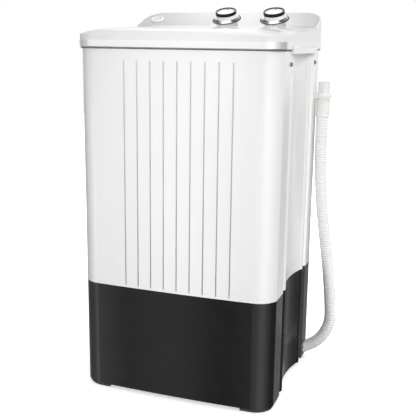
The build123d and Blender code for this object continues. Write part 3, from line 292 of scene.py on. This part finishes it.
NODE_MATERIAL = {
    "cabinet_white": ["cabinet"],
    "rim_pearl": ["rim"],
    "trim_white": ["side_grips", "drain_outlet", "hose_spout", "hose_clip", "hose_hook"],
    "inlet_white": ["water_inlet"],
    "screw_grey": ["grip_screws"],
    "deck_white": ["top_deck", "lid", "console_housing"],
    "panel_silver": ["console_panel"],
    "base_charcoal": ["base_housing", "rear_access_cover"],
    "foot_black": ["feet"],
    "chrome": ["timer_knob_skirt", "selector_knob_skirt"],
    "knob_white": ["timer_knob_body", "selector_knob_body"],
    "knob_black": ["timer_knob_band", "selector_knob_band"],
    "cuff_cream": ["hose_cuff"],
    "hose_white": ["drain_hose"],
    "tub_white": ["wash_tub", "tub_floor", "splash_guard", "filter_channel", "pulsator_cap"],
    "pulsator_blue": ["pulsator", "lint_filter_frame"],
    "steel": [
        "housing_screws", "lid_hinge_pins", "timer_spindle", "selector_spindle", "shaft_bearings",
        "drive_shaft", "pulley_nut", "motor_bracket", "motor_shaft", "valve_spring",
    ],
    "alloy": ["bearing_housing", "drive_pulley", "motor_pulley"],
    "enamel": ["motor_body"],
    "rubber": [
        "cord_gland", "shaft_seal", "drive_belt", "motor_mounts", "drain_valve_plunger", "drain_pipe",
    ],
    "grey_plastic": [
        "base_plate", "timer_unit", "selector_unit", "motor_fan", "capacitor", "drain_valve_body",
        "valve_pull_strap", "sump_duct",
    ],
    "net": ["lint_filter_bag"],
}


def paint(piece, name):
    """Gives the piece one material."""
    piece.data.materials.clear()
    piece.data.materials.append(MATERIALS[name])


def dress_nodes():
    """Gives every CAD node the finish that lists it, and stops if one is in no list."""
    unpainted = set(NODES)
    for name, members in NODE_MATERIAL.items():
        for member in members:
            paint(NODES[member], name)
            unpainted.remove(member)
    if unpainted:
        raise SystemExit(f"no material for {sorted(unpainted)}")


# ---------------------------------------------------------------- mesh and frame helpers

def add_piece(name, mesh, material, body):
    """Links a finished mesh as a piece that rides on a body."""
    piece = bpy.data.objects.new(name, mesh)
    bpy.context.scene.collection.objects.link(piece)
    paint(piece, material)
    for polygon in mesh.polygons:
        polygon.use_smooth = True
    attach(piece, body)
    return piece


def finished_mesh(name, shape):
    """The mesh of a bmesh whose faces are all made, turned outwards."""
    bmesh.ops.recalc_face_normals(shape, faces=shape.faces)
    mesh = bpy.data.meshes.new(name)
    shape.to_mesh(mesh)
    shape.free()
    return mesh


def rings_mesh(name, rings, round_again=False):
    """A skin through equally long rings of points, whose ends are capped or meet each other."""
    shape = bmesh.new()
    rows = [[shape.verts.new(point) for point in ring] for ring in rings]
    count = len(rows[0])
    following = rows[1:] + rows[:1] if round_again else rows[1:]
    for low, high in zip(rows, following):
        for i in range(count):
            j = (i + 1) % count
            shape.faces.new((low[i], low[j], high[j], high[i]))
    if not round_again:
        shape.faces.new(list(reversed(rows[0])))
        shape.faces.new(rows[-1])
    return finished_mesh(name, shape)


def thicken(piece, thickness):
    """Gives an open skin its thickness."""
    thick = piece.modifiers.new("thick", "SOLIDIFY")
    thick.thickness = thickness


def joint_frame(name):
    """A knob's centre on the panel and its across, upward and outward directions."""
    joint = next(j for j in frame["joints"] if j["name"] == name)
    outward = -Vector(joint["axis"]).normalized()
    across = Vector((1, 0, 0))
    return Vector(joint["pos_m"]), across, outward.cross(across), outward


def round_directions(across, upward, sides):
    """Evenly spread directions round a full turn in the plane of two axes."""
    turns = [2 * math.pi * i / sides for i in range(sides)]
    return [across * math.cos(turn) + upward * math.sin(turn) for turn in turns]


# ---------------------------------------------------------------- drain hose

HOSE_PLANE_Y = 0.153
HOSE_ROUTE = [
    # x and z of the route's points, from the outlet up to the cuff
    (0.2366, 0.0298), (0.2561, 0.0402), (0.2744, 0.0562), (0.2885, 0.0760), (0.2978, 0.0984),
    (0.3017, 0.1224), (0.2993, 0.158), (0.2950, 0.204), (0.2890, 0.254), (0.2815, 0.305), (0.2735, 0.357),
    (0.2660, 0.409), (0.2605, 0.461), (0.2572, 0.514), (0.2554, 0.568), (0.2550, 0.610), (0.2554, 0.648),
]
HOSE_R = 15.5 * MM
HOSE_VALLEY_R = 13.5 * MM
RIB_PITCH = 6.6 * MM
RIB_STEPS = 8
RIB_FULLNESS = 0.6
HOSE_SIDES = 36


def hose_line():
    """The hose's centreline, read from a smooth spline through its route."""
    curve = bpy.data.curves.new("hose_line", "CURVE")
    curve.dimensions = "3D"
    spline = curve.splines.new("NURBS")
    spline.points.add(len(HOSE_ROUTE) - 1)
    for point, (x, z) in zip(spline.points, HOSE_ROUTE):
        point.co = (x, HOSE_PLANE_Y, z, 1)
    spline.order_u = 3
    spline.use_endpoint_u = True
    spline.resolution_u = 24
    carrier = bpy.data.objects.new("hose_line", curve)
    mesh = bpy.data.meshes.new_from_object(carrier)
    points = [vertex.co.copy() for vertex in mesh.vertices]
    bpy.data.objects.remove(carrier)
    bpy.data.meshes.remove(mesh)
    bpy.data.curves.remove(curve)
    return points


def along(points, distance):
    """The place and heading at a distance along a line of points."""
    for a, b in zip(points, points[1:]):
        step = (b - a).length
        if distance <= step:
            return a.lerp(b, distance / step), (b - a).normalized()
        distance -= step
    return points[-1].copy(), (points[-1] - points[-2]).normalized()


def line_length(points):
    """The length of a line of points."""
    return sum((b - a).length for a, b in zip(points, points[1:]))


def circle_at(centre, heading, radius, sides):
    """A ring of points round a heading that lies in the hose's plane."""
    across = Vector((0, 1, 0))
    return [centre + out * radius for out in round_directions(across, heading.cross(across), sides)]


def rib_radius(phase):
    """The hose's radius within one rib: a broad round crest and a narrow valley."""
    return HOSE_VALLEY_R + (HOSE_R - HOSE_VALLEY_R) * math.sin(math.pi * phase) ** RIB_FULLNESS


def make_hose(line):
    """The corrugated hose, one ring of points at each step of each rib."""
    total = line_length(line)
    steps = round(total / RIB_PITCH) * RIB_STEPS
    rings = []
    for i in range(steps + 1):
        place, heading = along(line, total * i / steps)
        rings.append(circle_at(place, heading, rib_radius(i % RIB_STEPS / RIB_STEPS), HOSE_SIDES))
    mesh = rings_mesh("hose_corrugated", rings)
    return add_piece("hose_corrugated", mesh, "hose_white", "machine")


# the cuff's sizes are in mm: heights are from its lower end, and profiles are (height, radius)
CUFF_HEM = [(-3.0, 15.6), (-3.0, 16.3), (-1.5, 16.6), (0.0, 16.2), (1.2, 15.4), (4.0, 15.3)]
CUFF_BAND_COUNT, CUFF_BAND_START, CUFF_BAND_PITCH = 8, 8.0, 3.6
CUFF_BAND = [(-1.5, 15.2), (-0.9, 15.75), (0.9, 15.75), (1.5, 15.2)]
CUFF_LIPS = [(39.0, 17.3), (47.5, 17.9)]
CUFF_LIP_HALF, CUFF_LIP_EDGE, CUFF_LIP_ROUNDING, CUFF_LIP_FOOT_R = 2.1, 1.4, 0.4, 15.4
CUFF_MOUTH = [(53.0, 15.4), (54.0, 14.8), (54.0, 13.9)]


def make_cuff(start, heading):
    """The soft end cuff: a hem, shallow bands and two lips under the spout."""
    profile = list(CUFF_HEM)
    for band in range(CUFF_BAND_COUNT):
        middle = CUFF_BAND_START + CUFF_BAND_PITCH * band
        profile += [(middle + height, radius) for height, radius in CUFF_BAND]
    for middle, crest in CUFF_LIPS:
        edge = crest - CUFF_LIP_ROUNDING
        profile += [
            (middle - CUFF_LIP_HALF, CUFF_LIP_FOOT_R), (middle - CUFF_LIP_EDGE, edge), (middle, crest),
            (middle + CUFF_LIP_EDGE, edge), (middle + CUFF_LIP_HALF, CUFF_LIP_FOOT_R),
        ]
    profile += CUFF_MOUTH
    rings = [circle_at(start + heading * (h * MM), heading, r * MM, HOSE_SIDES) for h, r in profile]
    mesh = rings_mesh("hose_end_cuff", rings)
    return add_piece("hose_end_cuff", mesh, "cuff_cream", "machine")


def dress_hose():
    """The free hose and its cuff, in place of the plain CAD ones."""
    line = hose_line()
    hose = make_hose(line)
    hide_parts("drain_hose")
    cuff = make_cuff(line[-1], (line[-1] - line[-2]).normalized())
    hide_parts("hose_cuff")


# ---------------------------------------------------------------- painted shade on the cabinet

FLUTES = 9
FLUTE_PITCH = 31.5 * MM
FLUTE_SHIFT = 10 * MM
FLUTE_LOW, FLUTE_HIGH = 0.2695, 0.7815
FLUTE_OUT = 0.35 * MM
# each line is a trough: an arc in plan that starts a little past the groove's right edge
LINE_R = 1.35 * MM
LINE_ARC_START, LINE_ARC = 0.08 * math.pi, 0.84 * math.pi
LINE_ARC_STEPS = 8
LINE_TIP, LINE_TIP_SHARE = 2 * MM, 0.5
LINE_THICKNESS = 0.15 * MM
# the front bows out by the rise over twice the half width
BOW_RISE, BOW_HALF = 0.004, 0.190
BOW_R = (BOW_HALF ** 2 + BOW_RISE ** 2) / (2 * BOW_RISE)


def make_groove_shade_lines():
    """A thin grey line of painted shade laid in each of the front's grooves, in one piece."""
    shape = bmesh.new()
    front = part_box("cabinet")[0].y
    turns = [LINE_ARC_START + LINE_ARC * i / LINE_ARC_STEPS for i in range(LINE_ARC_STEPS + 1)]
    levels = [(FLUTE_LOW, LINE_R), (FLUTE_HIGH - LINE_TIP, LINE_R), (FLUTE_HIGH, LINE_R * LINE_TIP_SHARE)]
    for step in range(FLUTES):
        x = FLUTE_SHIFT + (step - (FLUTES - 1) / 2) * FLUTE_PITCH
        y = front + BOW_R - math.sqrt(BOW_R ** 2 - x ** 2) - FLUTE_OUT
        rows = [
            [shape.verts.new((x + radius * math.cos(t), y + radius * math.sin(t), z)) for t in turns]
            for z, radius in levels
        ]
        for low, high in zip(rows, rows[1:]):
            for i in range(LINE_ARC_STEPS):
                shape.faces.new((low[i], high[i], high[i + 1], low[i + 1]))
    mesh = finished_mesh("groove_shade_lines", shape)
    piece = add_piece("groove_shade_lines", mesh, "groove_shade_grey", "machine")
    thicken(piece, LINE_THICKNESS)


WELD_GAP, SAME_POINT = 1e-6, 1e-5


def plan_loop(node, height):
    """The outer outline of a CAD node at a height, as points in order."""
    cut = bmesh.new()
    cut.from_mesh(NODES[node].data)
    bmesh.ops.remove_doubles(cut, verts=cut.verts[:], dist=WELD_GAP)
    made = bmesh.ops.bisect_plane(
        cut, geom=cut.verts[:] + cut.edges[:] + cut.faces[:], plane_co=(0, 0, height), plane_no=(0, 0, 1),
    )["geom_cut"]
    edges = {e for e in made if isinstance(e, bmesh.types.BMEdge)}
    start = max((v for e in edges for v in e.verts), key=lambda v: (round(v.co.x, 5), v.co.y))
    loop, corner, used = [start.co.copy()], start, set()
    while onward := [e for e in corner.link_edges if e in edges and e not in used]:
        used.add(onward[0])
        corner = onward[0].other_vert(corner)
        if (corner.co - loop[-1]).length > SAME_POINT:
            loop.append(corner.co.copy())
        if corner is start:
            break
    cut.free()
    if (loop[0] - loop[-1]).length < SAME_POINT:
        loop.pop()
    return loop


def inset(loop, distance):
    """The loop moved towards its inside by a distance, in plan."""
    area = sum(a.x * b.y - b.x * a.y for a, b in zip(loop, loop[1:] + loop[:1]))
    side = 1 if area > 0 else -1
    moved = []
    for before, here, after in zip(loop[-1:] + loop[:-1], loop, loop[1:] + loop[:1]):
        heading = ((here - before).normalized() + (after - here).normalized()).normalized()
        moved.append(here + Vector((-heading.y, heading.x, 0)) * side * distance)
    return moved


# the dark grey strip under the rim is painted shadow of the overhang
RIM_SHADOW_CUT = 6 * MM
RIM_SHADOW_SECTION = [
    # inset from the rim's outline and height from its underside, in mm
    (2.4, 0.0), (2.6, -2.8), (4.4, -3.0), (4.4, 0.0),
]
RIM_SHADOW_SHARP = math.radians(40)


def make_rim_shadow_strip():
    """A dark grey strip under the rim, a painted shadow that shows as a dark line below the rim's overhang."""
    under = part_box("rim")[0].z
    loop = plan_loop("rim", under + RIM_SHADOW_CUT)
    rings = []
    for depth, height in RIM_SHADOW_SECTION:
        rings.append([Vector((p.x, p.y, under + height * MM)) for p in inset(loop, depth * MM)])
    mesh = rings_mesh("rim_shadow_strip", rings, round_again=True)
    mesh.set_sharp_from_angle(angle=RIM_SHADOW_SHARP)
    add_piece("rim_shadow_strip", mesh, "rim_shadow_grey", "machine")


# ---------------------------------------------------------------- knobs and inlet
# radii and heights over the panel are in mm

# the black ring under each knob's skirt is painted shade and dark reflection at the skirt's foot
SKIRT_SHADE_SIDES = 96
SKIRT_SHADE_PROFILE = [(33.2, 0.05), (36.3, 0.05), (36.6, 0.5), (36.1, 1.0), (33.2, 1.0)]


def make_skirt_shade_ring(knob):
    """A thin black ring under a knob's chrome skirt: painted shade and dark reflection at the skirt's foot."""
    centre, across, upward, outward = joint_frame(f"{knob}_turn")
    rings = [
        [centre + out * (radius * MM) + outward * (height * MM) for radius, height in SKIRT_SHADE_PROFILE]
        for out in round_directions(across, upward, SKIRT_SHADE_SIDES)
    ]
    mesh = rings_mesh(f"{knob}_skirt_shade_ring", rings, round_again=True)
    add_piece(f"{knob}_skirt_shade_ring", mesh, "knob_black", "machine")


POINTER_FROM_CENTRE = 16.5
POINTER_HALF_RUN, POINTER_R = 3.1, 1.25
POINTER_END_STEPS = 12
POINTER_LEVELS = [
    # share of the slot's size, and height over the panel
    (1.0, 18.55), (1.0, 19.45), (0.8, 19.6),
]


def make_pointer(knob):
    """The dark inlay in the slot of a knob's face."""
    centre, across, upward, outward = joint_frame(f"{knob}_turn")
    outline = []
    for end in (1, -1):
        for i in range(POINTER_END_STEPS + 1):
            turn = math.pi * i / POINTER_END_STEPS
            run = POINTER_HALF_RUN + POINTER_R * math.sin(turn)
            outline.append((end * POINTER_R * math.cos(turn), end * run))
    rings = []
    for size, height in POINTER_LEVELS:
        middle = upward * POINTER_FROM_CENTRE + outward * height
        rings.append([centre + (middle + (across * x + upward * y) * size) * MM for x, y in outline])
    mesh = rings_mesh(f"{knob}_pointer", rings)
    add_piece(f"{knob}_pointer", mesh, "mark_dark", f"{knob}_knob")


STRAINER_RINGS = [2.0, 4.2, 8.6, 10.2, 11.5]
STRAINER_CROWN, STRAINER_DROP = 3.4, 2.4
# the slots cut the second band of faces: of each slot's share of the turn, some steps are open
STRAINER_SLOTS, STRAINER_SLOT_BAND = 10, 1
STRAINER_SLOT_STEPS, STRAINER_OPEN_STEPS = 12, 5
STRAINER_THICKNESS = 0.8 * MM


def make_strainer():
    """A domed white strainer in the water inlet's mouth, with radial slots."""
    inlet = next(mount for mount in frame["record"]["mounts"] if mount["name"] == "water_inlet")
    middle = Vector(inlet["pos_m"])
    across, upward, outward = joint_frame("timer_turn")[1:]
    sides = STRAINER_SLOTS * STRAINER_SLOT_STEPS
    directions = round_directions(across, upward, sides)
    shape = bmesh.new()
    rows = []
    for radius in STRAINER_RINGS:
        rise = STRAINER_CROWN - STRAINER_DROP * (radius / STRAINER_RINGS[-1]) ** 2
        rows.append([shape.verts.new(middle + (out * radius + outward * rise) * MM) for out in directions])
    for band, (low, high) in enumerate(zip(rows, rows[1:])):
        for i in range(sides):
            if band == STRAINER_SLOT_BAND and i % STRAINER_SLOT_STEPS < STRAINER_OPEN_STEPS:
                continue
            j = (i + 1) % sides
            shape.faces.new((low[i], low[j], high[j], high[i]))
    shape.faces.new(rows[0])
    mesh = finished_mesh("inlet_strainer", shape)
    piece = add_piece("inlet_strainer", mesh, "inlet_white", "machine")
    thicken(piece, STRAINER_THICKNESS)


# ---------------------------------------------------------------- lint filter

POUCH_TURN = math.radians(35)
POUCH_ROWS, POUCH_SIDES = 48, 96
# half width and half thickness of the mouths, and how much of each the slack middle loses, in mm
POUCH_HALF, POUCH_HALF_SLACK = 25.0, 1.8
POUCH_THICK, POUCH_THICK_SLACK = 5.1, 1.9
# how square the section's ends and its flat faces are: 1 is an ellipse
POUCH_END_POWER, POUCH_FACE_POWER = 0.45, 0.6
SLACK_POWER = 0.8


def squared(value, power):
    """A sine or cosine pushed outwards, with its sign kept."""
    return math.copysign(abs(value) ** power, value)


def pouch_ripple(x, half, share):
    """Ripples in mm, x mm from the middle and a share of the way up: drifting folds and fine puckers."""
    folds = 0.5 * math.sin(5 * math.pi * x / half + 9 * share)
    puckers = 0.3 * math.sin(31 * share + 0.2 * x)
    return folds + puckers


def make_pouch():
    """The lint filter's net pouch: full at its mouths, slack and rippled between them."""
    low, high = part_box("lint_filter_bag")
    wide = Vector((math.cos(POUCH_TURN), math.sin(POUCH_TURN), 0))
    thin = Vector((-math.sin(POUCH_TURN), math.cos(POUCH_TURN), 0))
    rings = []
    for row in range(POUCH_ROWS + 1):
        share = row / POUCH_ROWS
        slack = math.sin(math.pi * share) ** SLACK_POWER
        half = POUCH_HALF - POUCH_HALF_SLACK * slack
        depth = POUCH_THICK - POUCH_THICK_SLACK * slack
        middle = Vector(((low.x + high.x) / 2, (low.y + high.y) / 2, low.z + (high.z - low.z) * share))
        ring = []
        for i in range(POUCH_SIDES):
            turn = 2 * math.pi * i / POUCH_SIDES
            x = half * squared(math.cos(turn), POUCH_END_POWER)
            y = depth * squared(math.sin(turn), POUCH_FACE_POWER) + slack * pouch_ripple(x, half, share)
            ring.append(middle + (wide * x + thin * y) * MM)
        rings.append(ring)
    pouch = add_piece("lint_pouch", rings_mesh("lint_pouch", rings), "net", "lint_filter")
    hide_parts("lint_filter_bag")


# ---------------------------------------------------------------- studio

MIDDLE = (0, 0, 0.5)
SOFT_BOXES = [
    # name, place, what it faces, width and height, power in watts
    ("front_tube", (0.0, -0.62, 0.52), (0.0, 0, 0.52), (0.05, 1.3), 1.65),
    ("key_box", (1.72, -2.46, 1.05), MIDDLE, (1.4, 1.4), 46),
    ("left_box", (-2.2, -0.6, 1.0), MIDDLE, (1.2, 1.6), 14),
    ("right_box", (1.9, 0.2, 2.0), (0.24, 0, 0.6), (0.6, 1.0), 20),
    ("low_box", (0.95, 0.05, 0.1), (0.27, 0.15, 0.12), (0.4, 0.2), 1.2),
    ("rear_box", (-0.4, 2.6, 1.2), MIDDLE, (1.8, 1.6), 60),
    ("top_box", (0.1, -0.1, 2.6), (0.1, -0.1, 0.8), (1.6, 1.6), 17),
]


def soft_box(name, place, target, size, power):
    """A soft box at a place, facing a target, which neither the camera nor gloss sees."""
    data = bpy.data.lights.new(name, "AREA")
    data.shape = "RECTANGLE"
    data.size, data.size_y = size
    data.energy = power
    light = bpy.data.objects.new(name, data)
    light.location = place
    light.visible_camera = False
    light.visible_glossy = False
    light.rotation_euler = (Vector(target) - Vector(place)).to_track_quat("-Z", "Y").to_euler()
    bpy.context.scene.collection.objects.link(light)


# what gloss mirrors: for each height band of directions, the turn from the front towards the right, in
# degrees, and the brightness there
LOW_MIRRORED = [
    (-180, 0.6), (-130, 0.4), (-100, 0.4), (-81, 0.7), (-56, 1.5), (-45, 2.6), (-36, 2.7), (-33, 2.2),
    (-32.2, 1.3), (-31.2, 0.35), (-29.5, 0.3), (-27.5, 0.75), (-25, 1.2), (-20, 1.15), (-17, 0.35),
    (-13.5, 0.12), (-12.2, 0.5), (-11, 1.25), (0, 1.5), (12, 1.75), (25, 2.3), (37, 2.8), (50, 2.6),
    (65, 1.7), (81, 1.1), (100, 0.35), (126, 0.2), (155, 0.25), (180, 0.6),
]
LEVEL_MIRRORED = [
    (-180, 0.95), (-140, 0.8), (-109, 0.5), (-81, 0.42), (-56, 0.28), (-42, 0.3), (-33, 0.6), (-28, 0.95),
    (-22, 1.25), (-17, 1.3), (-13.5, 1.05), (-11, 0.8), (12, 0.62), (37, 0.52), (65, 0.46), (100, 0.42),
    (126, 0.48), (140, 0.75), (155, 1.0), (170, 1.0), (180, 0.95),
]
HIGH_MIRRORED = [
    (-180, 0.6), (-170, 0.5), (-163, 1.05), (-157, 2.0), (-152, 1.5), (-147, 0.9), (-138, 0.5),
    (-110, 0.15), (-80, 0.2), (-40, 1.4), (0, 1.7), (30, 1.5), (70, 0.2), (110, 0.15), (180, 0.7),
]
# a curve's values end at 1, so it holds shares of this brightness
MIRROR_TOP = 3.0
# the bands blend between these heights of a direction, from -1 straight down to 1 straight up
LOW_END, LEVEL_START, LEVEL_END, HIGH_START = -0.09, -0.05, 0.22, 0.38
# steeper down than these, only a share of the low band's light is left
FLOOR_END, LOW_START, FLOOR_SHARE = -0.8, -0.58, 0.15


def mirrored_curve(tree, share, levels):
    """The brightness round the horizon as a curve through (turn, brightness) pairs."""
    node = tree.nodes.new("ShaderNodeFloatCurve")
    curve = node.mapping.curves[0]
    for turn, level in levels[1:-1]:
        curve.points.new((turn + 180) / 360, level / MIRROR_TOP)
    curve.points[0].location = (0, levels[0][1] / MIRROR_TOP)
    curve.points[-1].location = (1, levels[-1][1] / MIRROR_TOP)
    node.mapping.update()
    tree.links.new(share, node.inputs["Value"])
    return node.outputs["Value"]


def calculate(tree, operation, first, second):
    """One step of arithmetic on two values, each a socket or a number."""
    node = tree.nodes.new("ShaderNodeMath")
    node.operation = operation
    for socket, value in zip(node.inputs, (first, second)):
        if isinstance(value, (int, float)):
            socket.default_value = value
        else:
            tree.links.new(value, socket)
    return node.outputs[0]


def between(tree, value, low, high):
    """0 below low, 1 above high, and a straight ramp between."""
    node = tree.nodes.new("ShaderNodeMapRange")
    node.inputs["From Min"].default_value = low
    node.inputs["From Max"].default_value = high
    tree.links.new(value, node.inputs["Value"])
    return node.outputs["Result"]


def blend_values(tree, share, first, second):
    """first where share is 0, second where it is 1."""
    node = tree.nodes.new("ShaderNodeMix")
    tree.links.new(share, node.inputs["Factor"])
    tree.links.new(first, node.inputs["A"])
    tree.links.new(second, node.inputs["B"])
    return node.outputs["Result"]


def mirrored_level(tree):
    """The studio's brightness as gloss mirrors it, by direction."""
    where = tree.nodes.new("ShaderNodeTexCoord")
    split = tree.nodes.new("ShaderNodeSeparateXYZ")
    tree.links.new(where.outputs["Generated"], split.inputs[0])
    height = split.outputs["Z"]
    forward = calculate(tree, "MULTIPLY", split.outputs["Y"], -1)
    turn = calculate(tree, "ARCTAN2", split.outputs["X"], forward)
    share = between(tree, turn, -math.pi, math.pi)
    low = mirrored_curve(tree, share, LOW_MIRRORED)
    level = mirrored_curve(tree, share, LEVEL_MIRRORED)
    high = mirrored_curve(tree, share, HIGH_MIRRORED)
    above_floor = between(tree, height, FLOOR_END, LOW_START)
    kept = calculate(tree, "ADD", calculate(tree, "MULTIPLY", above_floor, 1 - FLOOR_SHARE), FLOOR_SHARE)
    low = calculate(tree, "MULTIPLY", low, kept)
    lower = blend_values(tree, between(tree, height, LOW_END, LEVEL_START), low, level)
    whole = blend_values(tree, between(tree, height, LEVEL_END, HIGH_START), lower, high)
    return calculate(tree, "MULTIPLY", whole, MIRROR_TOP)


FILL = 0.15


def white_light(tree):
    """A plain white background shader."""
    node = tree.nodes.new("ShaderNodeBackground")
    node.inputs["Color"].default_value = (1, 1, 1, 1)
    return node


def for_rays(tree, kind, others, these):
    """The second shader for one kind of ray, and the first for all others."""
    rays = tree.nodes.new("ShaderNodeLightPath")
    mix = tree.nodes.new("ShaderNodeMixShader")
    tree.links.new(rays.outputs[kind], mix.inputs["Fac"])
    tree.links.new(others.outputs[0], mix.inputs[1])
    tree.links.new(these.outputs[0], mix.inputs[2])
    return mix


def make_world():
    """White to the eye, an even fill for matt surfaces and a studio of soft boxes for gloss."""
    world = bpy.data.worlds.new("studio")
    world.use_nodes = True
    world.cycles.sampling_method = "NONE"
    bpy.context.scene.world = world
    tree = world.node_tree
    fill = tree.nodes["Background"]
    fill.inputs["Color"].default_value = (1, 1, 1, 1)
    fill.inputs["Strength"].default_value = FILL
    mirrored = white_light(tree)
    tree.links.new(mirrored_level(tree), mirrored.inputs["Strength"])
    gloss = for_rays(tree, "Is Glossy Ray", fill, mirrored)
    eye = for_rays(tree, "Is Camera Ray", gloss, white_light(tree))
    tree.links.new(eye.outputs[0], tree.nodes["World Output"].inputs["Surface"])


FLOOR_R, FLOOR_SIDES = 7, 96
FLOOR_GAP = 0.5 * MM
# the floor glows faintly at its middle and turns into the white surroundings between these distances
GLOW, GLOW_NEAR, GLOW_FAR = 0.45, 0.3, 2.2


def floor_paper():
    """Matt white paper that glows more the further it is from the middle."""
    material, tree, shader = make_material("floor_paper")
    paper = spread(tree, noise(tree, 2.5, 3), 0, 1)
    tree.links.new(tint(tree, paper, (0.93, 0.93, 0.93), (0.95, 0.95, 0.95)), shader.inputs["Base Color"])
    shader.inputs["Roughness"].default_value = 0.9
    shader.inputs["Specular IOR Level"].default_value = 0.0
    shader.inputs["Emission Color"].default_value = (1, 1, 1, 1)
    away = tree.nodes.new("ShaderNodeVectorMath")
    away.operation = "LENGTH"
    place = tree.nodes.new("ShaderNodeTexCoord")
    tree.links.new(place.outputs["Object"], away.inputs[0])
    glow = between(tree, away.outputs["Value"], GLOW_NEAR, GLOW_FAR)
    tree.links.new(calculate(tree, "ADD", glow, GLOW), shader.inputs["Emission Strength"])
    return material


def make_floor():
    """A pale round floor just under the feet, which takes shadows but lights and mirrors nothing."""
    shape = bmesh.new()
    bmesh.ops.create_circle(shape, cap_ends=True, radius=FLOOR_R, segments=FLOOR_SIDES)
    mesh = bpy.data.meshes.new("floor")
    shape.to_mesh(mesh)
    shape.free()
    mesh.materials.append(floor_paper())
    floor = bpy.data.objects.new("floor", mesh)
    floor.location = (0, 0, -FLOOR_GAP)
    floor.visible_glossy = False
    floor.visible_diffuse = False
    bpy.context.scene.collection.objects.link(floor)


def make_studio():
    """White surroundings, soft boxes and a pale floor."""
    bpy.context.scene.view_settings.view_transform = "Standard"
    make_world()
    for row in SOFT_BOXES:
        soft_box(*row)
    make_floor()


make_camera()
make_studio()
dress_nodes()
dress_hose()
make_groove_shade_lines()
make_rim_shadow_strip()
for knob in ("timer", "selector"):
    make_skirt_shade_ring(knob)
    make_pointer(knob)
make_strainer()
make_pouch()
